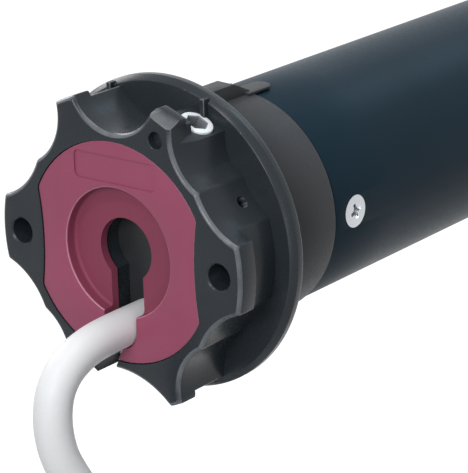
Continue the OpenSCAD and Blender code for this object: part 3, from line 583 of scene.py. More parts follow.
def put(tree: bpy.types.NodeTree, socket: bpy.types.NodeSocket, value: object) -> None:
    """Links a socket to an input, or sets the input's own value.

    Args:
        tree: The socket's tree.
        socket: The input.
        value: A socket, a number or a colour.
    """
    if isinstance(value, bpy.types.NodeSocket):
        tree.links.new(value, socket)
    elif isinstance(value, (tuple, list)) and len(value) == 3 and socket.type == "RGBA":
        socket.default_value = (*value, 1.0)
    else:
        socket.default_value = value


def maths(tree: bpy.types.NodeTree, how: str, a: object, b: object) -> bpy.types.NodeSocket:
    """Output of a math node over two sockets or values.

    Args:
        tree: The tree that gets the node.
        how: The node's operation.
        a: First socket or number.
        b: Second socket or number.

    Returns:
        The output.
    """
    made = tree.nodes.new("ShaderNodeMath")
    made.operation = how
    put(tree, made.inputs[0], a)
    put(tree, made.inputs[1], b)
    return made.outputs[0]


def blend(tree: bpy.types.NodeTree, mask: bpy.types.NodeSocket, first: bpy.types.NodeSocket,
          second: bpy.types.NodeSocket) -> bpy.types.NodeSocket:
    """Colour that is the first where the mask is 0 and the second where it is 1.

    Args:
        tree: The tree that gets the node.
        mask: Socket from 0 to 1.
        first: Socket of the first colour.
        second: Socket of the second colour.

    Returns:
        The mixed colour.
    """
    mix = tree.nodes.new("ShaderNodeMix")
    mix.data_type = "RGBA"
    for place, socket in ((0, mask), (6, first), (7, second)):
        tree.links.new(socket, mix.inputs[place])
    return mix.outputs[2]


def fill_drift(tree: bpy.types.NodeTree, start: Dict, end: Dict) -> None:
    """Slow change of a colour between two shades, from soft noise on Object coordinates.

    Args:
        tree: The group's own tree.
        start: Sockets of its inputs.
        end: Sockets of its outputs.
    """
    place = tree.nodes.new("ShaderNodeTexCoord").outputs["Object"]
    big = node(tree, "ShaderNodeTexNoise", Vector=place, Scale=start["Scale"], Detail=3.0)
    fine = node(tree, "ShaderNodeTexNoise", Vector=place, Scale=1800.0, Detail=2.0)
    both = maths(tree, "ADD", maths(tree, "MULTIPLY", big.outputs["Fac"], 0.7),
                 maths(tree, "MULTIPLY", fine.outputs["Fac"], 0.3))
    ramp = node(tree, "ShaderNodeMapRange", Value=both, From_Min=0.35, From_Max=0.65)
    tree.links.new(blend(tree, ramp.outputs[0], start["Colour"], start["Other"]), end["Colour"])


def fill_grain(tree: bpy.types.NodeTree, start: Dict, end: Dict) -> None:
    """Fine grain of a moulded or painted skin: noise and a cell pattern added up.

    Args:
        tree: The group's own tree.
        start: Sockets of its inputs.
        end: Sockets of its outputs.
    """
    place = tree.nodes.new("ShaderNodeTexCoord").outputs["Object"]
    a = node(tree, "ShaderNodeTexNoise", Vector=place, Scale=start["Scale"], Detail=4.0)
    b = node(tree, "ShaderNodeTexVoronoi", Vector=place, Scale=start["Scale"])
    c = maths(tree, "MULTIPLY", b.outputs["Distance"], 0.6)
    tree.links.new(maths(tree, "ADD", a.outputs["Fac"], c), end["Height"])
    tree.links.new(a.outputs["Fac"], end["Mask"])


def fill_wear_and_highlight(tree: bpy.types.NodeTree, start: Dict, end: Dict) -> None:
    """Rubbed outer edges with a painted highlight: the mark of each corner, broken up by noise,
    lightens the colour.

    Args:
        tree: The group's own tree.
        start: Sockets of its inputs.
        end: Sockets of its outputs.
    """
    place = tree.nodes.new("ShaderNodeTexCoord").outputs["Object"]
    mark = node(tree, "ShaderNodeAttribute", {"attribute_name": "edge_wear_and_highlight"})
    patchy = node(tree, "ShaderNodeTexNoise", Vector=place, Scale=260.0, Detail=4.0)
    uneven = node(tree, "ShaderNodeMapRange", Value=patchy.outputs["Fac"], From_Min=0.3,
                  From_Max=0.6, To_Min=0.55)
    mask = maths(tree, "MULTIPLY", mark.outputs["Fac"],
                 maths(tree, "MULTIPLY", uneven.outputs[0], start["Amount"]))
    tree.links.new(blend(tree, mask, start["Colour"], start["Worn"]), end["Colour"])
    tree.links.new(mask, end["Mask"])


def fill_brushed(tree: bpy.types.NodeTree, start: Dict, end: Dict) -> None:
    """Marks of turning or rolling: noise on coordinates that are scaled along each axis.

    Args:
        tree: The group's own tree.
        start: Sockets of its inputs.
        end: Sockets of its outputs.
    """
    place = tree.nodes.new("ShaderNodeTexCoord").outputs["Object"]
    scale = tree.nodes.new("ShaderNodeVectorMath")
    scale.operation = "MULTIPLY"
    tree.links.new(place, scale.inputs[0])
    tree.links.new(start["Stretch"], scale.inputs[1])
    lines = node(tree, "ShaderNodeTexNoise", Vector=scale.outputs[0], Scale=start["Scale"],
                 Detail=5.0)
    tree.links.new(lines.outputs["Fac"], end["Height"])
    tree.links.new(lines.outputs["Fac"], end["Mask"])


@dataclass(frozen=True)
class SharedEffects:
    """The node groups that the finishes have in common."""

    drift: bpy.types.NodeTree
    wear_and_highlight: bpy.types.NodeTree
    grain: bpy.types.NodeTree
    brushed: bpy.types.NodeTree

    @staticmethod
    def build() -> "SharedEffects":
        """Makes the four groups.

        Returns:
            The groups.
        """
        colour, number, vector = "NodeSocketColor", "NodeSocketFloat", "NodeSocketVector"
        white = (1, 1, 1, 1)
        relief = [("Height", number), ("Mask", number)]
        return SharedEffects(
            drift=make_group("colour_drift", [("Colour", colour, white), ("Other", colour, white),
                                              ("Scale", number, DRIFT_SCALE)],
                             [("Colour", colour)], fill_drift),
            wear_and_highlight=make_group("rubbed_and_highlit_edges", [("Colour", colour, white), ("Worn", colour, white),
                                             ("Amount", number, 0.5)],
                            [("Colour", colour), ("Mask", number)], fill_wear_and_highlight),
            grain=make_group("skin_grain", [("Scale", number, 2500.0)], relief, fill_grain),
            brushed=make_group("machined_marks", [("Scale", number, 900.0),
                                                  ("Stretch", vector, (1, 1, 1))],
                               relief, fill_brushed))


# Scale of the colour drift, roughness that a fully rubbed edge loses, least roughness, and
# how far light spreads in a plastic that lets some through, in metres.
DRIFT_SCALE, RUBBED_LOSS, LEAST_ROUGHNESS, SPREAD_DEPTH = 40.0, 0.12, 0.02, 0.002


@dataclass(frozen=True)
class Finish:
    """A surface finish with constant sockets and a varying colour, roughness and bump.

    Its colours are written in sRGB from 0 to 255.
    """

    name: str
    colour: Colour
    other: Colour
    roughness: float
    spread: float = 0.06
    metallic: float = 0.0
    specular: float = 0.5
    sheen: float = 0.0
    subsurface: float = 0.0
    bump: float = 0.04
    bump_depth: float = 0.00004
    grain_scale: float = 2500.0
    stretch: Optional[Tuple[float, float, float]] = None
    # Lighter colour of rounded edges, painted there as rubbing and as a highlight.
    worn_and_lit: Optional[Colour] = None
    wear_and_highlight: float = 0.5

    def material(self, effects: SharedEffects) -> bpy.types.Material:
        """Builds the material.

        Args:
            effects: The shared node groups.

        Returns:
            The material.
        """
        mat = bpy.data.materials.new(self.name)
        mat.use_nodes = True
        tree = mat.node_tree
        tree.nodes.clear()
        drift = node(tree, "ShaderNodeGroup", {"node_tree": effects.drift},
                     Colour=srgb(*self.colour), Other=srgb(*self.other),
                     Scale=DRIFT_SCALE)
        # Lightens rounded edges as rubbing and as a painted highlight.
        edges = node(tree, "ShaderNodeGroup", {"node_tree": effects.wear_and_highlight},
                     Colour=drift.outputs["Colour"], Worn=srgb(*(self.worn_and_lit or self.other)),
                     Amount=self.wear_and_highlight)
        marks = node(tree, "ShaderNodeGroup",
                     {"node_tree": effects.brushed if self.stretch else effects.grain},
                     Scale=self.grain_scale)
        if self.stretch:
            marks.inputs["Stretch"].default_value = self.stretch
        rough = node(tree, "ShaderNodeMapRange", Value=marks.outputs["Mask"], From_Min=0.3,
                     From_Max=0.7, To_Min=max(self.roughness - self.spread, LEAST_ROUGHNESS),
                     To_Max=self.roughness + self.spread)
        rubbed = maths(tree, "MULTIPLY", edges.outputs["Mask"], RUBBED_LOSS)
        relief = node(tree, "ShaderNodeBump", Strength=self.bump, Distance=self.bump_depth,
                      Height=marks.outputs["Height"])
        shader = node(tree, "ShaderNodeBsdfPrincipled", Metallic=self.metallic,
                      Specular_IOR_Level=self.specular, Sheen_Weight=self.sheen,
                      Subsurface_Weight=self.subsurface, Subsurface_Scale=SPREAD_DEPTH,
                      Base_Color=edges.outputs["Colour"],
                      Roughness=maths(tree, "SUBTRACT", rough.outputs[0], rubbed),
                      Normal=relief.outputs[0])
        node(tree, "ShaderNodeOutputMaterial", Surface=shader.outputs[0])
        return mat


@dataclass
class Finishes:
    """Every finish of the motor, each made into a material at its first use."""

    effects: SharedEffects
    made: Dict[str, bpy.types.Material] = field(default_factory=dict)

    def get(self, finish: Finish) -> bpy.types.Material:
        """The material of a finish, built at its first use.

        Args:
            finish: The finish.

        Returns:
            Its material.
        """
        if finish.name not in self.made:
            self.made[finish.name] = finish.material(self.effects)
        return self.made[finish.name]

    def dress(self, piece: bpy.types.Object, finish: Finish) -> bpy.types.Object:
        """Puts one finish on the whole piece and returns the piece.

        Args:
            piece: The piece.
            finish: The finish.

        Returns:
            The piece.
        """
        piece.data.materials.clear()
        piece.data.materials.append(self.get(finish))
        return piece

    def dress_faces(self, piece: bpy.types.Object, finish: Finish, chosen: np.ndarray) -> None:
        """Puts a second finish on the faces of a dressed piece for which chosen is true."""
        piece.data.materials.append(self.get(finish))
        piece.data.polygons.foreach_set("material_index", chosen.astype(np.int32))

    def dress_node(self, piece: bpy.types.Object, finish: Finish) -> None:
        """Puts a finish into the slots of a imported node's own object."""
        for slot in piece.material_slots:
            slot.material = self.get(finish)


# The lighter edge colours below paint rounded edges as rubbed and as highlit.
HEAD_BLACK = Finish("head_black", (38, 44, 49), (43, 49, 54), 0.28, 0.03, specular=0.2,
                    worn_and_lit=(150, 154, 160), wear_and_highlight=0.42,
                    bump=0.12, grain_scale=2200.0)
COVER_CRIMSON = Finish("cover_crimson", (150, 75, 100), (143, 70, 95), 0.42, 0.05,
                       specular=0.25, bump=0.1, grain_scale=1900.0, worn_and_lit=(206, 160, 178),
                       wear_and_highlight=0.5)
# Darker crimson on the dish's floor and wall: painted shade of the recess.
COVER_DISH_PAINTED_SHADE = Finish("cover_dish_painted_shade", (132, 62, 84), (125, 58, 79), 0.5, 0.05, specular=0.2,
                    bump=0.16, grain_scale=1700.0)
CROWN_GREY = Finish("crown_grey", (56, 58, 61), (62, 64, 67), 0.5, 0.06, specular=0.15,
                    worn_and_lit=(116, 119, 124),
                    bump=0.2, grain_scale=1500.0)
TUBE_PAINT = Finish("tube_paint", (28, 46, 58), (25, 43, 54), 0.36, 0.04, specular=0.05,
                    bump=0.05, grain_scale=1300.0)
TUBE_INSIDE = Finish("bare_alloy", (168, 172, 176), (150, 154, 158), 0.4, 0.08,
                     metallic=1.0, bump=0.2, grain_scale=700.0, stretch=(0.15, 1.0, 1.0))
SCREW_WHITE = Finish("screw_white", (240, 242, 243), (232, 235, 237), 0.35, 0.05,
                     subsurface=0.1, bump=0.08)
# Grey on the socket's floor and walls: painted shade in the screw's recess.
SOCKET_PAINTED_SHADE = Finish("socket_painted_shade", (128, 132, 137), (112, 117, 122), 0.5, 0.06)
ZINC = Finish("bright_zinc", (206, 209, 212), (188, 192, 197), 0.28, 0.09, metallic=1.0,
              bump=0.25, grain_scale=1600.0, stretch=(1.0, 0.35, 1.0))
CABLE_WHITE = Finish("cable_white", (228, 229, 231), (222, 224, 226), 0.45, 0.06,
                     specular=0.3, bump=0.12, grain_scale=900.0, sheen=0.05)
BLACK_NYLON = Finish("black_nylon", (38, 40, 43), (44, 46, 49), 0.45, 0.06, bump=0.2,
                     specular=0.3, worn_and_lit=(96, 99, 104))
CORE_BROWN = Finish("core_brown", (112, 66, 40), (98, 58, 36), 0.4)
CORE_BLACK = Finish("core_black", (34, 35, 37), (42, 43, 45), 0.4)
CORE_BLUE = Finish("core_blue", (58, 110, 178), (52, 98, 164), 0.4)
CORE_GREEN = Finish("core_green", (58, 130, 66), (66, 140, 70), 0.4)
CORE_YELLOW = Finish("core_yellow", (222, 198, 62), (214, 188, 54), 0.4)
TINNED = Finish("tinned", (206, 208, 210), (188, 190, 193), 0.25, 0.08, metallic=1.0,
                bump=0.2)
BRASS = Finish("brass", (206, 170, 92), (184, 148, 76), 0.3, 0.08, metallic=1.0)
ACETAL = Finish("natural_acetal", (232, 229, 218), (224, 220, 207), 0.42,
                subsurface=0.15, bump=0.15)
YELLOW_ACETAL = Finish("yellow_acetal", (219, 184, 78), (208, 170, 66), 0.42, bump=0.15)
CREAM = Finish("cream_plastic", (216, 212, 200), (206, 201, 188), 0.5, bump=0.15)
STEEL = Finish("turned_steel", (186, 189, 192), (164, 168, 172), 0.28, 0.1, metallic=1.0,
               bump=0.3, grain_scale=1400.0, stretch=(1.0, 0.15, 0.15))
LAMINATED = Finish("laminated_steel", (122, 126, 131), (96, 100, 105), 0.42, 0.1,
                   metallic=1.0, bump=0.7, grain_scale=900.0, stretch=(2.2, 0.02, 0.02))
SPRING = Finish("spring_steel", (120, 126, 134), (100, 104, 110), 0.3, 0.08, metallic=1.0)
SINTERED = Finish("sintered_steel", (150, 149, 146), (128, 127, 124), 0.55, 0.08,
                  metallic=1.0, bump=0.5, grain_scale=1700.0)
CAST = Finish("cast_alloy", (168, 172, 175), (150, 154, 158), 0.55, 0.08, metallic=1.0,
              bump=0.5, grain_scale=1100.0)
CAN = Finish("drawn_can", (214, 216, 218), (198, 201, 204), 0.22, 0.08, metallic=1.0,
             bump=0.25, grain_scale=1300.0, stretch=(0.1, 1.0, 1.0))
BRONZE = Finish("sintered_bronze", (176, 138, 84), (152, 116, 68), 0.45, metallic=1.0)
COPPER = Finish("enamelled_copper", (176, 88, 44), (146, 66, 30), 0.3, 0.1, metallic=0.9,
                bump=1.0, bump_depth=0.0001, grain_scale=500.0, stretch=(3.0, 0.4, 0.4))
LINING = Finish("friction_lining", (84, 72, 62), (70, 60, 52), 0.8, 0.08, bump=0.5)

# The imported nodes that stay, by finish.
NODE_FINISHES: Sequence[Tuple[Finish, str]] = (
    (BLACK_NYLON, "cable_plug limit_switches capacitor_cradle"),
    (BRASS, "plug_pins lever_up lever_down"),
    (CREAM, "terminal_socket limit_frame"),
    (ZINC, "neck_screws"),
    (CROWN_GREY, "tube_adapter"),
    (ACETAL, "crown_pinion reduction_gear cam_wheel_up planet_1a planet_1b planet_1c"),
    (YELLOW_ACETAL, "cam_wheel_down"),
    (CAN, "capacitor"),
    (CAST, "front_shield rear_shield gearbox_cover output_housing"),
    (BRONZE, "motor_bushes"),
    (LAMINATED, "stator_core rotor_core"),
    (COPPER, "stator_winding"),
    (STEEL, "rotor_shaft brake_magnet brake_armature sun_gear output_shaft"),
    (SPRING, "brake_spring"),
    (LINING, "brake_disc"),
    (SINTERED, "ring_gear carrier_1 carrier_2"),
    (SINTERED, "planet_2a planet_2b planet_2c planet_3a planet_3b planet_3c"),
)


# The head and its plate.


@dataclass
class Head:
    """Star-shaped head with its flange, neck and adjusting seats."""

    depth: float = 13.7
    lobe_r: float = 30.4
    side_r: float = 29.1
    lip: float = 4.8
    lip_round: float = 0.25
    lobe_step: float = 1.1
    side_step: float = 2.6
    span: float = 18.0
    corner_hollows: Tuple[Tuple[float, float, float], ...] = (
        (32.9, 20.2, 14.4), (24.8, 24.7, 11.1))
    end_hollows: Tuple[Tuple[float, float, float], ...] = ((0.0, 33.6, 10.5), (1.0, -41.4, 18.0))
    flange_r: float = 30.8
    flange_t: float = 3.0
    flange_slope: Tuple[Tuple[float, float], ...] = (
        (0.0, 1.05), (0.15, 0.85), (1.0, 0.2), (1.3, 0.0))
    neck_r: float = 18.5
    spigot_r: float = 17.0
    neck_bore: float = 15.8
    neck_end: float = 38.3
    spigot_end: float = 46.0
    socket_x: float = 18.2
    plate_gap: float = 0.12
    pocket_x: float = 4.45
    keyhole_r: float = 6.2
    slot_w: float = 7.8
    slot_z: float = -15.0
    mouth_w: float = 5.0
    mouth_len: float = 12.0
    mouth_at: Tuple[float, float] = (1.2, -16.4)
    mouth_slant: float = 27.0
    well_r: float = 6.6
    well_w: float = 8.4
    well_low: float = -19.2
    well_x: float = 15.2
    hole_pitch: float = 48.0
    hole_r: float = 2.5
    adjuster_angle: float = 116.0
    adjuster_x: float = 10.0
    seat_floor: float = 26.9
    block_top: float = 27.3
    block_w: float = 7.9
    fin_y: float = 11.3
    fin_z: Tuple[float, float] = (22.5, 28.4)
    edge: float = 1.05
    crest: float = 0.3
    steps: int = 720

    def reach(self, lobe_r: float, side_r: float, inside: float = 0.0) -> np.ndarray:
        """Reach of the star along each angle: the least of its outer arcs and every hollow.

        Moving it inwards takes the distance off the arcs and adds it to the hollows' radii.

        Args:
            lobe_r: Radius of the upper and lower lobes.
            side_r: Radius of the side lobes.
            inside: Distance by which the outline is moved inwards.

        Returns:
            One radius for each angle.
        """
        a = around(self.steps)
        lobes = np.minimum(lobe_r - inside, (self.span - inside) / np.maximum(
            np.abs(np.cos(a)), 1e-6))
        out = np.maximum(side_r - inside, lobes)
        hollows = [(sy * y, sz * z, r) for y, z, r in self.corner_hollows
                   for sy in (-1, 1) for sz in (-1, 1)]
        for y, z, r in (*hollows, *self.end_hollows):
            out = soft_least(out, ray_to_circle(a, y, z, r + inside), self.crest)
        return out

    def blank(self) -> Surface:
        """The head before its pockets: star, flange, neck and bore as one stack of rings.

        Returns:
            Vertices and faces.
        """
        full = self.reach(self.lobe_r, self.side_r)
        small = self.reach(self.lobe_r - self.lobe_step, self.side_r - self.side_step)
        rows = [(self.edge * c, self.reach(self.lobe_r, self.side_r, self.edge * s))
                for c, s in quarter(6)]
        step = self.lip_round * np.clip(full - small, 0, 1)
        rows += [(self.lip - self.lip_round, full), (self.lip - 0.07, full - 0.3 * step),
                 (self.lip, full - step), (self.lip, small), (self.depth, small)]
        end, f = self.depth + self.flange_t, self.flange_r
        rows += [(self.depth + x, f - off) for x, off in self.flange_slope]
        rows += [(end - 0.4, f), (end - 0.12, f - 0.12), (end, f - 0.4), (end, self.neck_r),
                 (self.neck_end, self.neck_r), (self.neck_end, self.spigot_r),
                 (self.spigot_end - 0.3, self.spigot_r), (self.spigot_end, self.spigot_r - 0.3),
                 (self.spigot_end, self.neck_bore), (self.socket_x, self.neck_bore)]
        return skin(lathe(rows, self.steps))

    def slot(self, extra: float) -> List[np.ndarray]:
        """Outlines of the keyhole, the slot, its round end and its slanting mouth.

        Args:
            extra: Distance by which each of them is wider on every side.

        Returns:
            Four closed outlines of (y, z) points.
        """
        w, mouth, z = self.slot_w / 2 + extra, self.mouth_w / 2 + extra, self.slot_z
        a = math.radians(self.mouth_slant)
        c, s = math.cos(a), math.sin(a)
        quad = np.array([[-mouth, 0], [mouth, 0], [mouth, -self.mouth_len],
                         [-mouth, -self.mouth_len]])
        quad = np.column_stack([self.mouth_at[0] + quad[:, 0] * c - quad[:, 1] * s,
                                self.mouth_at[1] + quad[:, 0] * s + quad[:, 1] * c])
        return [arc(0, 0, self.keyhole_r + extra, 0, 356, 90),
                np.array([[-w, z], [w, z], [w, 0], [-w, 0]]), arc(0, z, w, 0, 354, 60), quad]

    def build(self) -> bpy.types.Object:
        """Makes the head and cuts its pockets, holes and seats.

        Returns:
            The piece.
        """
        head = body("star_head", self.blank())
        carve(head, prism(CoverPlate().outline(self.plate_gap), -1, self.pocket_x))
        carve(head, prism(arc(0, 0, self.well_r, 0, 356, 90), 0, self.well_x))
        w, low = self.well_w / 2, self.well_low
        carve(head, slab((3, -w, low), (self.well_x, w, 0)))
        for shape in self.slot(0.2)[1:]:
            carve(head, prism(shape, -1, 12))
        fixing = [(-1, 3.3), (-0.01, 2.85), (0.3, self.hole_r), (11, self.hole_r)]
        for side in (-1, 1):
            carve(head, drill(fixing, side * self.hole_pitch / 2, 0, 48))
        carve(head, drill([(-1, 1.95), (0, 1.75), (0.15, 1.6), (1.6, 1.5)], -10.3, 23.4, 32))
        self.seats(head)
        self.trim(head)
        return head

    def seats(self, head: bpy.types.Object) -> None:
        """Cuts the flats behind the lip at both adjusting screws and sets their blocks.

        Args:
            head: The head.
        """
        half_w, slant, slant_z = 7, math.radians(-26), 29.0
        flat = slab((6.3, -half_w, self.seat_floor), (self.depth + 0.001, half_w, 40))
        v, f = slab((-6, -9, 0), (8, 9, 4))
        x = v[:, 0] * math.cos(slant) + v[:, 2] * math.sin(slant)
        z = -v[:, 0] * math.sin(slant) + v[:, 2] * math.cos(slant) + slant_z
        slope = (np.column_stack([x, v[:, 1], z]), f)
        floor, top = self.seat_floor, self.block_top
        bore = [(24.4, 3.35), (floor, 3.35), (top, 3.45), (30, 3.45)]
        for half_turn in (0, 180):
            a = self.adjuster_angle + half_turn
            carve(head, turned(flat, a))
            carve(head, turned(slope, a))
            block = [ring_of(x, self.bracket(full, half_turn == 180))
                     for x, full in ((2.5, 0.0), (6.25, 1.0), (self.depth + 0.4, 1.0))]
            carve(head, skin(np.stack(block)), Carving.JOIN)
            carve(head, post(bore, self.adjuster_x, a, 64))

    def bracket(self, full: float, lower: bool) -> np.ndarray:
        """Outline of the block round an adjusting screw, with an outer side that runs out
        into the hollow beside it.

        The top is square to the screw: its ends are u top - w t and u top + w t, with u the
        screw's direction, t square to it and w half the block's width. From the outer end
        the side is a curve p (1 - s)^2 + 2 q s (1 - s) + r s^2 that touches the hollow at r.

        Args:
            full: Share of the way from the hollow's wall, 0, to the full width, 1.
            lower: True for the lower screw, whose block is the upper one's half a turn on.

        Returns:
            Points (y, z) of the outline.
        """
        a = math.radians(self.adjuster_angle)
        u, t = np.array([math.cos(a), math.sin(a)]), np.array([-math.sin(a), math.cos(a)])
        top, w = self.block_top * u, self.block_w / 2 * t
        p, q, r = top + w, np.array([-15.5, 18.7]), np.array([-16.9, 16.8])
        s = np.linspace(0, 1, 9)[:, None]
        side = p * (1 - s) ** 2 + 2 * q * s * (1 - s) + r * s * s
        y, z, hollow_r = self.corner_hollows[1]
        wall = -y + np.sqrt(hollow_r ** 2 - (side[:, 1] - z) ** 2) + 0.08
        side[:, 0] = wall + full * (side[:, 0] - wall)
        corners = np.vstack([top - w, side, [-15.0, 15.0], [-9.0, 15.0]])
        return -corners if lower else corners

    def trim(self, head: bpy.types.Object) -> None:
        """Adds the two fins before the flange, and cuts the small side hole and slit and the
        window through the neck for the pinion.

        Args:
            head: The head.
        """
        low, high = self.fin_z
        for y in (-self.fin_y, self.fin_y):
            carve(head, slab((self.depth - 1.3, y - 0.5, low), (self.depth + 0.6, y + 0.5, high),
                             0.12), Carving.JOIN)
        carve(head, post([(21.6, 1.2), (30, 1.2)], 10.4, 153, 32))
        carve(head, turned(slab((6.6, -1.7, 25.8), (7.3, 1.7, 28)), 180))
        carve(head, slab((33, -6, 12), (39, 6, 22)))


@dataclass
class CoverPlate:
    """Round plate with a dished middle, a keyhole and the slot for the cable."""

    radius: float = 21.5
    face_x: float = 0.15
    thickness: float = 4.2
    side_at: float = 18.35
    side_arc_r: float = 59.0
    dish_r: float = 12.6
    dish_depth: float = 2.5
    dish_fillet: float = 0.7
    dish_rim: float = 0.35
    edge: float = 0.2
    panel_y: float = 8.7
    panel_z: Tuple[float, float] = (14.4, 17.7)
    panel_corner: float = 1.0
    panel_depth: float = 0.3
    steps: int = 360

    def outline(self, extra: float) -> np.ndarray:
        """Circle with two shallow arcs taken off its sides, as (y, z) points.

        Args:
            extra: Distance by which the outline is moved outwards.

        Returns:
            Array of points by 2.
        """
        a = around(self.steps)
        reach = np.full(self.steps, self.radius + extra)
        for s in (-1, 1):
            middle = s * (self.side_at + extra + self.side_arc_r)
            reach = soft_least(reach, ray_to_circle(a, middle, 0, self.side_arc_r), 0.35)
        return np.column_stack([reach * np.cos(a), reach * np.sin(a)])

    def build(self) -> bpy.types.Object:
        """Makes the plate from rings, then cuts the slot and the shallow panel.

        Returns:
            The piece.
        """
        edge, face = self.outline(0), self.face_x
        normal, back = outward(edge), face + self.thickness
        dish, fillet, rim = face + self.dish_depth, self.dish_fillet, self.dish_rim
        rows = [(dish - fillet * c, self.dish_r - fillet * s) for c, s in quarter(5)]
        rows += [(face + rim * s, self.dish_r + rim * c) for c, s in quarter(5)]
        rings = [*lathe(rows, self.steps)]
        rings += [ring_of(face + self.edge * c, edge - self.edge * s * normal)
                  for c, s in quarter(4)]
        rings += [ring_of(back - 0.1, edge), ring_of(back, edge - 0.1 * normal)]
        plate = body("dished_cover", skin(np.stack(rings)))
        for shape in Head().slot(0.0):
            carve(plate, prism(shape, -1, 6))
        panel = rounded(self.panel_y, *self.panel_z, self.panel_corner, 6)
        carve(plate, prism(panel, -1, face + self.panel_depth))
        soften(plate, 0.12, 50)
        return plate

    def dress(self, plate: bpy.types.Object, finishes: Finishes) -> None:
        """Crimson all over, with painted shade on the floor and wall of the dish: a darker crimson
        there.

        Args:
            plate: The plate.
            finishes: Every finish of the motor.
        """
        finishes.dress(plate, COVER_CRIMSON)
        middle = read(plate.data.polygons, "center", 3) / MM
        low = middle[:, 0] > self.face_x + self.dish_rim + 0.05
        near = np.linalg.norm(middle[:, 1:], axis=1) < self.dish_r + 0.3
        # Painted shade: the dish's floor and wall get the darker crimson.
        finishes.dress_faces(plate, COVER_DISH_PAINTED_SHADE, low & near)


@dataclass
class AdjustingScrew:
    """White screw with a hexagon socket, seated in the head."""

    angle: float
    name: str
    x: float = 10.0
    top: float = 27.6
    radius: float = 3.25
    across_flats: float = 3.7
    socket_depth: float = 2.2
    steps: int = 96

    def build(self) -> bpy.types.Object:
        """Rings up the outside, over the rim and down the six-sided socket.

        Returns:
            The piece.
        """
        r, top, socket = self.radius, self.top, hexagon(self.steps, self.across_flats)
        rows = [(18.0, 1.8), (18.3, 2.0), (24.6, 2.0), (24.6, r), (top - 0.35, r),
                (top - 0.1, r - 0.1), (top, r - 0.35), (top, socket + 0.16), (top - 0.2, socket),
                (top - self.socket_depth, socket)]
        return body(self.name, post(rows, self.x, self.angle, self.steps))

    def dress(self, piece: bpy.types.Object, finishes: Finishes) -> None:
        """White all over, with the socket's floor and walls painted grey as shade in the recess.

        Args:
            piece: The screw.
            finishes: Every finish of the motor.
        """
        finishes.dress(piece, SCREW_WHITE)
        axis = turn(np.array([0.0, 0.0, 1.0]), self.angle)
        middle = read(piece.data.polygons, "center", 3) / MM - np.array([self.x, 0, 0])
        high = middle @ axis
        out = np.linalg.norm(middle - high[:, None] * axis, axis=1)
        inside = (high > 24.8) & (high < self.top - 0.02) & (out < 2.3)
        # Painted shade: the socket's floor and walls get the grey.
        finishes.dress_faces(piece, SOCKET_PAINTED_SHADE, inside)


# The crown, the tube and the drive wheel.


@dataclass
class Crown:
    """Ring that turns on the neck: key rib and tongue outside, teeth inside."""

    start: float = 17.0
    end: float = 38.0
    radius: float = 22.8
    bore: float = 18.55
    key_angle: float = 92.5
    key_w: float = 4.0
    key_top: float = 25.6
    key_foot: float = 21.8
    tongue_len: float = 6.0
    tongue_z: Tuple[float, float] = (22.8, 23.28)
    tongue_turn: float = 2.5
    gear_x: float = 33.0
    teeth: int = 49
    module: float = 0.8
    steps: int = 588

    def teeth_outline(self) -> np.ndarray:
        """Radius of the inner teeth: a flat-topped wave between their tips and roots.

        Returns:
            One radius for each angle.
        """
        pitch = self.module * self.teeth / 2
        wave = np.cos((around(self.steps) - math.pi / 2) * self.teeth) * 1.6
        return pitch + self.module * np.clip(wave, -0.8, 1.0)

    def build(self) -> bpy.types.Object:
        """Outer skin, end face, inner teeth and bore as one closed stack of rings.

        Returns:
            The piece.
        """
        r, s, e, inner = self.radius, self.start, self.end, self.teeth_outline()
        rows = [(s, self.bore), (s, r - 0.6), (s + 0.3, r - 0.35), (s + 0.6, r), (e - 0.3, r),
                (e - 0.08, r - 0.08), (e, r - 0.3), (e, inner), (self.gear_x, inner),
                (self.gear_x, self.bore)]
        crown = body("crown_sleeve", skin(lathe(rows, self.steps), wrap=True))
        self.key(crown)
        soften(crown, 0.12, 60)
        return crown

    def key(self, crown: bpy.types.Object) -> None:
        """Joins on the key rib, a prism of its side view, and the flat tongue.

        Args:
            crown: The crown.
        """
        w, top, foot, start, end = self.key_w / 2, self.key_top, self.key_foot, self.start, self.end
        side = np.array([[start + 1.2, foot], [end - 0.4, foot], [end - 0.4, 23.2],
                         [end - 5.6, top], [start + 2, top], [start + 1.2, top - 0.6]])
        near = np.column_stack([side[:, 0], np.full(len(side), -w), side[:, 1]])
        rib = skin(np.stack([near, near + np.array([0, 2 * w, 0])]))
        carve(crown, turned(rib, self.key_angle), Carving.JOIN)
        tip, t = end + self.tongue_len, np.radians(np.linspace(-90, 90, 17))
        nose = np.column_stack([tip - w + w * np.cos(t), w * np.sin(t)])[1:-1]
        plan = np.vstack([[end - 2, -w], [tip - w, -w], nose, [tip - w, w], [end - 2, w]])
        tongue = [np.column_stack([plan, np.full(len(plan), z)]) for z in self.tongue_z]
        angle = self.key_angle + self.tongue_turn
        carve(crown, turned(skin(np.stack(tongue)), angle), Carving.JOIN)


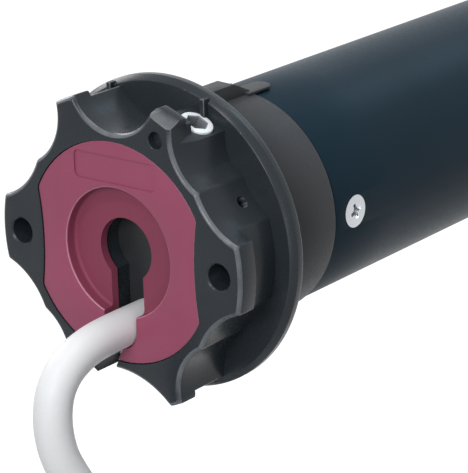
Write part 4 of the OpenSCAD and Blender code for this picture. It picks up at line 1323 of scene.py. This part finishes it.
@dataclass
class MotorTube:
    """Painted tube with three countersunk screws at each end."""

    start: float = 38.5
    end: float = 346.5
    radius: float = 22.4
    bore: float = 20.9
    front_x: float = 45.0
    rear_x: float = 333.7
    head_r: float = 3.3
    shank_r: float = 1.9
    cross_len: Tuple[float, float] = (1.75, 1.1)
    cross_w: Tuple[float, float] = (0.42, 0.2)
    cross_turn: float = 20.0
    angles: Tuple[float, ...] = (180.0, 300.0, 60.0)

    def build(self) -> bpy.types.Object:
        """A wall between two cylinders with small chamfers, then its screw holes.

        Returns:
            The piece.
        """
        s, e, r, b = self.start, self.end, self.radius, self.bore
        places = np.linspace(s + 20, e - 20, 14)
        rows = [(s, b), (s, r - 0.2), (s + 0.06, r - 0.06), (s + 0.2, r)]
        rows += [(x, r) for x in places]
        rows += [(e - 0.2, r), (e - 0.06, r - 0.06), (e, r - 0.2), (e, b)]
        rows += [(x, b) for x in places[::-1]]
        tube = body("motor_sleeve", skin(lathe(rows, 192), wrap=True))
        hole, wide = self.shank_r + 0.05, self.head_r + 0.06
        sink = [(18, hole), (r - self.head_r + self.shank_r, hole), (r + 0.05, wide),
                (r + 2, self.head_r + 2)]
        for x in (self.front_x, self.rear_x):
            for angle in self.angles:
                carve(tube, post(sink, x, angle, 48))
        return tube

    def dress(self, tube: bpy.types.Object, finishes: Finishes) -> None:
        """Paint outside and bare metal on the bore.

        Args:
            tube: The tube.
            finishes: Every finish of the motor.
        """
        finishes.dress(tube, TUBE_PAINT)
        middle = read(tube.data.polygons, "center", 3)
        out = np.linalg.norm(middle[:, 1:], axis=1) / MM
        finishes.dress_faces(tube, TUBE_INSIDE, out < self.radius - 0.9)

    def screws(self, name: str, x: float, tip: float) -> bpy.types.Object:
        """Countersunk screws with a domed rim and a tapered cross recess.

        Args:
            name: Name of the piece.
            x: Place along the tube.
            tip: Radius from the axis at which the shanks end.

        Returns:
            The piece with all three screws.
        """
        r, shank, wide = self.radius, self.shank_r, self.head_r
        rows = [(tip, shank - 0.4), (tip + 0.4, shank), (r - 1.4, shank), (r - 0.02, wide - 0.04),
                (r + 0.05, wide - 0.12), (r + 0.1, wide - 0.5), (r + 0.1, 0.9)]
        one = body("one_screw", skin(lathe(rows, 64)))
        for quarter_turn in (0, 90):
            a = math.radians(quarter_turn + self.cross_turn)
            spin = np.array([[math.cos(a), math.sin(a)], [-math.sin(a), math.cos(a)]])
            ends = [np.array([[h, w], [-h, w], [-h, -w], [h, -w]]) @ spin
                    for h, w in zip(self.cross_len, self.cross_w)]
            carve(one, skin(np.stack([ring_of(r + 0.4, ends[0]), ring_of(r - 1.1, ends[1])])))
        carve(one, skin(lathe([(r - 1.3, 0.5), (r + 0.3, 0.95)], 24)))
        faces = [list(p.vertices) for p in one.data.polygons]
        shape = (read(one.data.vertices, "co", 3) / MM, faces)
        bpy.data.meshes.remove(one.data)
        return body(name, *(stand(shape, x, angle) for angle in self.angles))


@dataclass
class DriveWheel:
    """Wheel on the output shaft's square: rim, web, hub, ribs, key rib and screw bosses."""

    start: float = 350.1
    end: float = 368.1
    radius: float = 22.8
    wall: float = 2.4
    hub_r: float = 10.4
    web_t: float = 4.0
    square: float = 11.1
    key_angle: float = 92.5
    key_w: float = 4.0
    key_h: float = 2.8
    rib_t: float = 2.0
    ribs: int = 6
    boss_r: float = 4.4
    hole_r: float = 1.65
    screw_r: float = 8.0
    screw_flats: float = 4.5
    steps: int = 180

    def build(self) -> bpy.types.Object:
        """One blank with its web and hub, then ribs and bosses joined and holes cut.

        Returns:
            The piece.
        """
        s, e, r, m = self.start, self.end, self.radius, (self.start + self.end) / 2
        inner, web, hub = r - self.wall, self.web_t / 2, self.hub_r
        rows = [(s, 3.0), (s, hub - 0.3), (s + 0.3, hub), (m - web, hub), (m - web, inner),
                (s + 0.3, inner), (s, inner + 0.3), (s, r - 0.5), (s + 0.15, r - 0.15),
                (s + 0.5, r), (e - 0.5, r), (e - 0.15, r - 0.15), (e, r - 0.5), (e, inner + 0.3),
                (e - 0.3, inner), (m + web, inner), (m + web, hub), (e - 0.3, hub),
                (e, hub - 0.3), (e, 3.0)]
        wheel = body("drive_wheel_body", skin(lathe(rows, self.steps), wrap=True))
        half = self.rib_t / 2
        rib = slab((s + 0.4, -half, hub - 1), (e - 0.4, half, inner + 0.8), 0.15)
        for i in range(self.ribs):
            carve(wheel, turned(rib, self.key_angle + 30 + i * 360 / self.ribs), Carving.JOIN)
        boss = [(14, self.boss_r - 0.3), (14.3, self.boss_r), (r - 1, self.boss_r)]
        for angle in (0, 180):
            carve(wheel, post(boss, m, angle, 48), Carving.JOIN)
        half = self.key_w / 2
        key = slab((s + 0.1, -half, r - 1), (e - 0.1, half, r + self.key_h - 0.02), 0.3)
        carve(wheel, turned(key, self.key_angle), Carving.JOIN)
        half = self.square / 2
        carve(wheel, slab((s - 1, -half, -half), (e + 1, half, half)))
        hole = [(15, self.hole_r), (r - 0.3, self.hole_r), (r + 0.2, self.hole_r + 0.5)]
        for angle in (0, 180):
            carve(wheel, post(hole, m, angle, 32))
        return wheel

    def screw(self) -> bpy.types.Object:
        """Pan-head screw with a six-sided socket in the end of the output shaft.

        Returns:
            The piece.
        """
        e, r, steps = self.end, self.screw_r, 72
        socket = hexagon(steps, self.screw_flats)
        rows = [(e - 11, 2.0), (e - 10.6, 2.4), (e, 2.4), (e, r - 0.1), (e + 0.3, r), (e + 2.2, r),
                (e + 2.75, r - 0.3), (e + 3.0, r - 1), (e + 3.0, socket + 0.2), (e + 2.8, socket),
                (e + 1.0, socket)]
        return body("wheel_lock_screw", skin(lathe(rows, steps)))


@dataclass
class EndCap:
    """Plug with a flange that closes the tube round the output shaft."""

    start: float = 340.5
    tube_end: float = 346.5
    end: float = 349.1
    plug_r: float = 20.8
    flange_r: float = 22.4
    groove_r: Tuple[float, float] = (12.1, 15.2)
    groove_depth: float = 0.5
    bore: float = 8.3

    def build(self) -> bpy.types.Object:
        """Turned profile: plug, flange with rounded edges, a shallow groove and the bore.

        Returns:
            The piece.
        """
        e, f, (inner, outer) = self.end, self.flange_r, self.groove_r
        floor = e - self.groove_depth
        rows = [(self.start, self.bore), (self.start, self.plug_r - 0.5),
                (self.start + 0.5, self.plug_r), (self.tube_end, self.plug_r), (self.tube_end, f),
                (e - 0.6, f), (e - 0.18, f - 0.18), (e, f - 0.6), (e, outer),
                (floor, outer - 0.3), (floor, inner + 0.3), (e, inner), (e, self.bore + 0.4),
                (e - 0.4, self.bore)]
        return body("tube_end_cap", skin(lathe(rows, 180), wrap=True))


# The cable.


@dataclass
class Cable:
    """Mains cable from the head's slot, its coil under the head, and the stripped end."""

    diameter: float = 7.3
    coil_x: float = 12.3
    coil_z: float = -110.0
    coil_y: float = -11.85
    outer: float = 48.0
    pitch: float = 7.9
    turns_in_layer: int = 2
    layers: int = 4
    steps_per_turn: int = 48
    steps_per_span: int = 4
    core_len: float = 40.0
    core_r: float = 0.93
    core_off: float = 1.7
    core_angles: Tuple[float, ...] = (45, 135, 225, 315)
    ferrule_len: float = 9.0
    ferrule_r: float = 0.74
    crimp_r: float = 0.62
    crimp_pitch: float = 2.4
    strap_t: float = 1.1
    strap_w: float = 5.4
    strap_corner: float = 3.0
    strap_lock: Tuple[float, float] = (2.2, 2.9)
    route: Tuple[Tuple[float, float, float], ...] = (
        (8, 0, -15), (4, 0, -15), (0, 0, -15), (-4, 0, -15.1), (-8, 0, -15.4),
        (-12, 0, -16.3), (-15.8, 0, -18.2), (-18.5, 0, -21.4), (-19.8, -0.2, -25.3),
        (-20.1, -0.6, -29.4), (-19.6, -1.3, -33.6), (-18.2, -2.4, -37.8),
        (-16.5, -3.8, -41.8), (-14.8, -5.4, -45.8), (-12.9, -7.2, -49.8),
        (-10.4, -8.9, -53.7), (-7.2, -10.4, -57.2), (-3.2, -11.4, -60), (1, -11.8, -61.6),
        (5, -11.85, -62))
    tail: Tuple[Tuple[float, float, float], ...] = (
        (5, 11.85, -158), (1, 11.85, -158.1), (-3.2, 11.85, -159), (-7, 11.85, -161.4),
        (-9.8, 11.85, -165), (-11.4, 11.85, -169.4), (-12, 11.85, -174), (-12, 11.85, -178))

    def coil(self) -> np.ndarray:
        """Centre line of the coil: a spiral in and out in piled layers.

        The angle falls by a full turn per turn. In a layer the radius changes by one pitch
        per turn, and in the half turn after it the line climbs to the next layer along a
        smooth step while the radius swings out by a quarter of half a pitch and comes back.

        Returns:
            Points of the centre line.
        """
        span = self.turns_in_layer + 0.5
        total = self.layers * span - 0.5
        u = np.arange(int(total * self.steps_per_turn) + 1) / self.steps_per_turn
        layer = np.minimum(np.floor(u / span), self.layers - 1)
        v = u - layer * span
        inward = layer % 2 == 0
        start = np.where(inward, self.outer, self.outer - self.turns_in_layer * self.pitch)
        way = np.where(inward, -1.0, 1.0)
        w = np.clip((v - self.turns_in_layer) / 0.5, 0, 1)
        spiral = np.minimum(v, self.turns_in_layer) + 0.5 * w * (1 - w)
        r = start + way * self.pitch * spiral
        y = self.coil_y + self.pitch * (layer + w * w * (3 - 2 * w))
        a = np.radians(90 - 360 * u)
        return np.column_stack([self.coil_x + r * np.cos(a), y, self.coil_z + r * np.sin(a)])

    def smooth(self, points: Sequence[Sequence[float]]) -> np.ndarray:
        """Curve through the points: each span is a cubic with its neighbours' slopes.

        Args:
            points: Points to pass through.

        Returns:
            Points of the curve.
        """
        p = np.array(points, float)
        slope = np.gradient(p, axis=0)
        t = np.linspace(0, 1, self.steps_per_span, endpoint=False)[None, :, None]
        p0, p1 = p[:-1, None], p[1:, None]
        m0, m1 = slope[:-1, None], slope[1:, None]
        h = ((2 * t ** 3 - 3 * t ** 2 + 1) * p0 + (t ** 3 - 2 * t ** 2 + t) * m0
             + (3 * t ** 2 - 2 * t ** 3) * p1 + (t ** 3 - t ** 2) * m1)
        return np.vstack([h.reshape(-1, 3), p[-1:]])

    def line(self) -> np.ndarray:
        """The whole centre line in millimetres.

        Returns:
            Points from the plug to the sheath's end.
        """
        coil = self.coil()
        return np.vstack([self.smooth(self.route)[:-1], coil[:1] - [self.diameter, 0, 0], coil,
                          self.smooth(self.tail)])

    def build(self, path: np.ndarray) -> bpy.types.Object:
        """The sheath as one round tube with two rings drawn in at its far end.

        Args:
            path: The centre line in millimetres.

        Returns:
            The piece.
        """
        rings = sweep(path, self.diameter / 2, 24, Vector((-1, 0, 0)), Vector((0, 0, -1)))
        lip = [path[-1] + (rings[-1] - path[-1]) * share for share in (0.9, 0.55)]
        return body("mains_lead", skin(np.concatenate([rings, np.stack(lip)])), sharp=45)

    def core_sides(self) -> List[np.ndarray]:
        """Unit directions from the sheath's middle to its cores."""
        angles = [math.radians(a) for a in self.core_angles]
        return [np.array([math.cos(a), math.sin(a), 0]) for a in angles]

    def cores(self) -> List[bpy.types.Object]:
        """Four insulated cores that wave a little below the sheath's end.

        Returns:
            The four pieces.
        """
        end, down = np.array(self.tail[-1], float), Vector((0, 0, -1))
        s = np.linspace(0, 1, 25)
        made = []
        for i, side in enumerate(self.core_sides()):
            out = self.core_off + 0.12 * np.sin(2 * math.pi * s) * (1 if i % 2 else -1)
            path = end + side * out[:, None] + np.array([0, 0, -self.core_len]) * s[:, None]
            made.append(body(f"core_{'abcd'[i]}", skin(sweep(path, self.core_r, 16, down, down))))
        return made

    def stripe(self, core: bpy.types.Object, finishes: Finishes) -> None:
        """Two yellow stripes along a green core: 3 of every 8 faces round it."""
        finishes.dress_faces(core, CORE_YELLOW, np.arange(len(core.data.polygons)) % 8 < 3)

    def ferrules(self) -> bpy.types.Object:
        """Crimped sleeves on the cores, each a tube with three crimp rings.

        Returns:
            The piece with all four sleeves.
        """
        end = np.array(self.tail[-1], float) - np.array([0, 0, self.core_len])
        wide, tight, tip = self.ferrule_r, self.crimp_r, self.ferrule_len
        rows = [(0.0, 0.3), (0.0, wide)]
        for x in (k * self.crimp_pitch for k in range(3)):
            rows += [(x + 1.5, wide), (x + 1.9, tight), (x + 2.6, tight), (x + 3.0, wide)]
        rows += [(tip - 0.1, wide), (tip, 0.6)]
        v, f = skin(lathe(rows, 20))
        down = np.column_stack([v[:, 1], v[:, 2], -v[:, 0]])
        return body("core_sleeves", *((end + side * self.core_off + down, f)
                                      for side in self.core_sides()))

    def ties(self) -> bpy.types.Object:
        """Two flat straps round the bundle, each a rounded rectangle swept by a thin strip.

        Returns:
            The piece with both straps.
        """
        inner = self.outer - self.pitch * self.turns_in_layer
        middle, r = (self.outer + inner) / 2, self.strap_corner
        hx = (self.outer - inner + self.diameter + 3.4) / 2
        hy = (self.layers - 1) * self.pitch / 2 + (self.diameter + 1.8) / 2
        loop = rounded(hx - r, r - hy, hy - r, r, 8)
        out, t, h = outward(loop), self.strap_t / 2, self.strap_w / 2
        rings = [np.column_stack([loop + out * off, np.full(len(loop), z)])
                 for off, z in ((-t, -h), (t, -h), (t, h), (-t, h))]
        v, f = skin(np.stack(rings), wrap=True)
        half, half_z = self.strap_lock
        parts = []
        for s in (-1, 1):
            parts.append((v + np.array([self.coil_x + s * middle, 0, self.coil_z]), f))
            x = self.coil_x + s * (middle + hx + 1.6)
            parts.append(slab((x - half, -half, self.coil_z - half_z),
                              (x + half, half, self.coil_z + half_z), 0.4))
        return body("cable_straps", *parts)


# Studio.


@dataclass(frozen=True)
class Lamp:
    """Rectangular soft lamp: its place and aim and its size in metres, and power in watts."""

    name: str
    place: Tuple[float, float, float]
    aim: Tuple[float, float, float]
    size: Tuple[float, float]
    power: float
    colour: Colour = (1, 1, 1)

    def build(self) -> None:
        """Adds the lamp, turned to face its aim."""
        data = bpy.data.lights.new(self.name, "AREA")
        data.shape, (data.size, data.size_y) = "RECTANGLE", self.size
        data.energy, data.color = self.power, self.colour
        lamp = placed(self.name, data)
        lamp.location = self.place
        way = Vector(self.aim) - Vector(self.place)
        lamp.rotation_euler = way.to_track_quat("-Z", "Y").to_euler()


LAMPS = (
    Lamp("key_softbox", (-0.86, -0.3, 0.42), (0.0, 0, 0), (0.35, 0.35), 5.4),
    Lamp("top_softbox", (0.08, -0.05, 0.9), (0.05, 0, 0), (0.5, 0.3), 3.2),
    Lamp("crest_lamp", (-0.57, -0.04, 0.82), (0.0, 0, 0), (0.16, 0.16), 1.8),
    Lamp("rear_strip", (1.2, -0.1, 0.9), (0.2, 0, 0), (0.5, 0.25), 1.2, (0.5, 0.85, 1.0)),
    Lamp("front_strip", (-0.5, -0.63, -0.02), (0.0, 0, 0), (0.05, 0.4), 0.5),
    Lamp("back_softbox", (0.35, 0.9, 0.45), (0.15, 0, -0.04), (0.7, 0.4), 5.0),
)


@dataclass
class Studio:
    """Camera at the photograph's angle, soft lamps, a pale floor and a white surround.

    The camera's angles are in degrees and its distance and shifts in millimetres; the
    floor's height and half its side are in metres.
    """

    azimuth: float = -51.4334
    elevation: float = 18.7
    roll: float = -1.64
    distance: float = 431.34
    focal_px: float = 2325.45
    shift_x: float = -21.75
    shift_y: float = -3.17
    long_side: float = 473.0
    sensor: float = 36.0
    floor_z: float = -0.24
    floor_half: float = 3.0
    floor_base: float = 0.25
    floor_glow: float = 0.88
    fill_level: float = 0.3

    def camera(self) -> None:
        """Camera whose axes are worked out from the azimuth, elevation and roll."""
        az, el, ro = (math.radians(v) for v in (self.azimuth, self.elevation, self.roll))
        back = np.array([math.sin(az) * math.cos(el), -math.cos(az) * math.cos(el), math.sin(el)])
        right = np.array([math.cos(az), math.sin(az), 0.0])
        up = np.cross(back, right)
        c, s = math.cos(ro), math.sin(ro)
        rows = np.stack([c * right + s * up, -s * right + c * up, back])
        place = rows.T @ np.array([-self.shift_x, -self.shift_y, self.distance]) * MM
        data = bpy.data.cameras.new("photo_camera")
        data.sensor_width, data.sensor_fit = self.sensor, "AUTO"
        data.lens = self.focal_px * self.sensor / self.long_side
        data.clip_start, data.clip_end = 0.01, 20.0
        cam = placed("photo_camera", data)
        turn_to = Matrix(rows.T.tolist()).to_4x4()
        turn_to.translation = Vector(place.tolist())
        cam.matrix_world = turn_to
        bpy.context.scene.camera = cam

    def looked_at(self, tree: bpy.types.NodeTree) -> bpy.types.NodeSocket:
        """1 for a ray from the camera, a reflection or a transmission, and 0 for the rest.

        Args:
            tree: The tree that gets the nodes.

        Returns:
            The output.
        """
        path = tree.nodes.new("ShaderNodeLightPath")
        mirrored = maths(tree, "MAXIMUM", path.outputs["Is Glossy Ray"],
                         path.outputs["Is Transmission Ray"])
        return maths(tree, "MAXIMUM", path.outputs["Is Camera Ray"], mirrored)

    def surround(self) -> None:
        """White to the camera and in reflections, and a plain dimmer grey as light."""
        world = bpy.data.worlds.new("studio_world")
        world.use_nodes = True
        tree = world.node_tree
        tree.nodes.clear()
        seen = node(tree, "ShaderNodeBackground", Color=(1.0, 1.0, 1.0), Strength=1.0)
        light = node(tree, "ShaderNodeBackground", Color=(0.96, 0.98, 1.0),
                     Strength=self.fill_level)
        mix = tree.nodes.new("ShaderNodeMixShader")
        sources = (self.looked_at(tree), light.outputs[0], seen.outputs[0])
        for socket, source in zip(mix.inputs, sources):
            tree.links.new(source, socket)
        node(tree, "ShaderNodeOutputWorld", Surface=mix.outputs[0])
        bpy.context.scene.world = world

    def floor(self) -> None:
        """Large pale floor that shows white to the camera but keeps the shadow."""
        half, z = self.floor_half, self.floor_z
        mesh = bpy.data.meshes.new("pale_floor")
        mesh.from_pydata([(-half, -half, z), (half, -half, z), (half, half, z), (-half, half, z)],
                         [], [(0, 1, 2, 3)])
        mat = bpy.data.materials.new("pale_floor")
        mat.use_nodes = True
        tree = mat.node_tree
        tree.nodes.clear()
        glow = maths(tree, "MULTIPLY", self.looked_at(tree), self.floor_glow)
        shader = node(tree, "ShaderNodeBsdfPrincipled", Base_Color=(self.floor_base,) * 3,
                      Roughness=0.9, Specular_IOR_Level=0.1, Emission_Color=(1.0, 1.0, 1.0),
                      Emission_Strength=glow)
        node(tree, "ShaderNodeOutputMaterial", Surface=shader.outputs[0])
        mesh.materials.append(mat)
        placed("pale_floor", mesh)

    def build(self) -> None:
        """Sets up the camera, the world, the floor and the lamps."""
        self.camera()
        self.surround()
        self.floor()
        for lamp in LAMPS:
            lamp.build()
        bpy.context.scene.view_settings.view_transform = "Standard"


# Putting it together.


@dataclass
class Assembly:
    """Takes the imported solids, replaces the ones that show and dresses the rest."""

    frame: Dict
    finishes: Finishes

    def fit(self, piece: bpy.types.Object, rides: str, slot: str, *nodes: str) -> None:
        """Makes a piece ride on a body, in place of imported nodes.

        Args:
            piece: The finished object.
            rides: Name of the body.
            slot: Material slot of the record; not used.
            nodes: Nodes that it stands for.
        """
        # Marks rounded edges for rubbing and for a painted highlight.
        mark_wear_and_highlight(piece.data)
        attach(piece, rides)
        if nodes:
            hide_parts(*nodes)
        LOG.info("%s: %d faces", piece.name, len(piece.data.polygons))

    def cable(self) -> None:
        """The lead with its cores, sleeves and straps."""
        cable = Cable()
        path = cable.line()
        lead = self.finishes.dress(cable.build(path), CABLE_WHITE)
        self.fit(lead, "housing", "sheath", "mains_cable", "cable_coil", "cable_tail")
        cores = cable.cores()
        for piece, finish in zip(cores, (CORE_BROWN, CORE_BLACK, CORE_BLUE, CORE_GREEN)):
            self.finishes.dress(piece, finish)
            self.fit(piece, "housing", "core_sheath")
        cable.stripe(cores[3], self.finishes)
        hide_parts("core_wires")
        sleeves = self.finishes.dress(cable.ferrules(), TINNED)
        self.fit(sleeves, "housing", "tin", "core_ferrules")
        straps = self.finishes.dress(cable.ties(), BLACK_NYLON)
        self.fit(straps, "housing", "tie_plastic", "cable_ties")

    def front(self) -> None:
        """Head, cover plate and adjusting screws."""
        dress = self.finishes.dress
        head = Head()
        self.fit(dress(head.build(), HEAD_BLACK), "housing", "head_plastic", "head")
        cover = CoverPlate()
        plate = cover.build()
        cover.dress(plate, self.finishes)
        self.fit(plate, "housing", "cover_plastic", "cover_plate")
        for half_turn, way in ((0.0, "up"), (180.0, "down")):
            screw = AdjustingScrew(head.adjuster_angle + half_turn, f"{way}_limit_screw")
            piece = screw.build()
            screw.dress(piece, self.finishes)
            self.fit(piece, f"{way}_adjuster", "white_plastic", f"adjusting_screw_{way}")

    def middle(self) -> None:
        """Crown, tube and tube screws."""
        dress = self.finishes.dress
        self.fit(dress(Crown().build(), CROWN_GREY), "crown", "crown_plastic", "crown_ring")
        tube = MotorTube()
        sleeve = tube.build()
        tube.dress(sleeve, self.finishes)
        self.fit(sleeve, "housing", "tube_paint", "motor_tube")
        for name, x, tip, where in (("front_tube_screws", tube.front_x, 17.4, "front"),
                                    ("rear_tube_screws", tube.rear_x, 12.0, "rear")):
            self.fit(dress(tube.screws(name, x, tip), ZINC), "housing", "zinc_steel",
                     f"tube_screws_{where}")

    def far_end(self) -> None:
        """End cap, drive wheel and its screw."""
        dress = self.finishes.dress
        self.fit(dress(EndCap().build(), BLACK_NYLON), "housing", "black_plastic", "end_cap")
        wheel = DriveWheel()
        self.fit(dress(wheel.build(), CROWN_GREY), "output", "crown_plastic", "drive_wheel")
        self.fit(dress(wheel.screw(), ZINC), "output", "zinc_steel", "wheel_screw")

    def inside(self) -> None:
        """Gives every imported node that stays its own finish."""
        for finish, names in NODE_FINISHES:
            for name in names.split():
                self.finishes.dress_node(self.frame["nodes"][name], finish)


def main() -> None:
    logging.basicConfig(level=logging.INFO)
    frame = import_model()
    Studio().build()
    parts = Assembly(frame, Finishes(SharedEffects.build()))
    parts.cable()
    parts.front()
    parts.middle()
    parts.far_end()
    parts.inside()


if __name__ == "__main__":
    main()
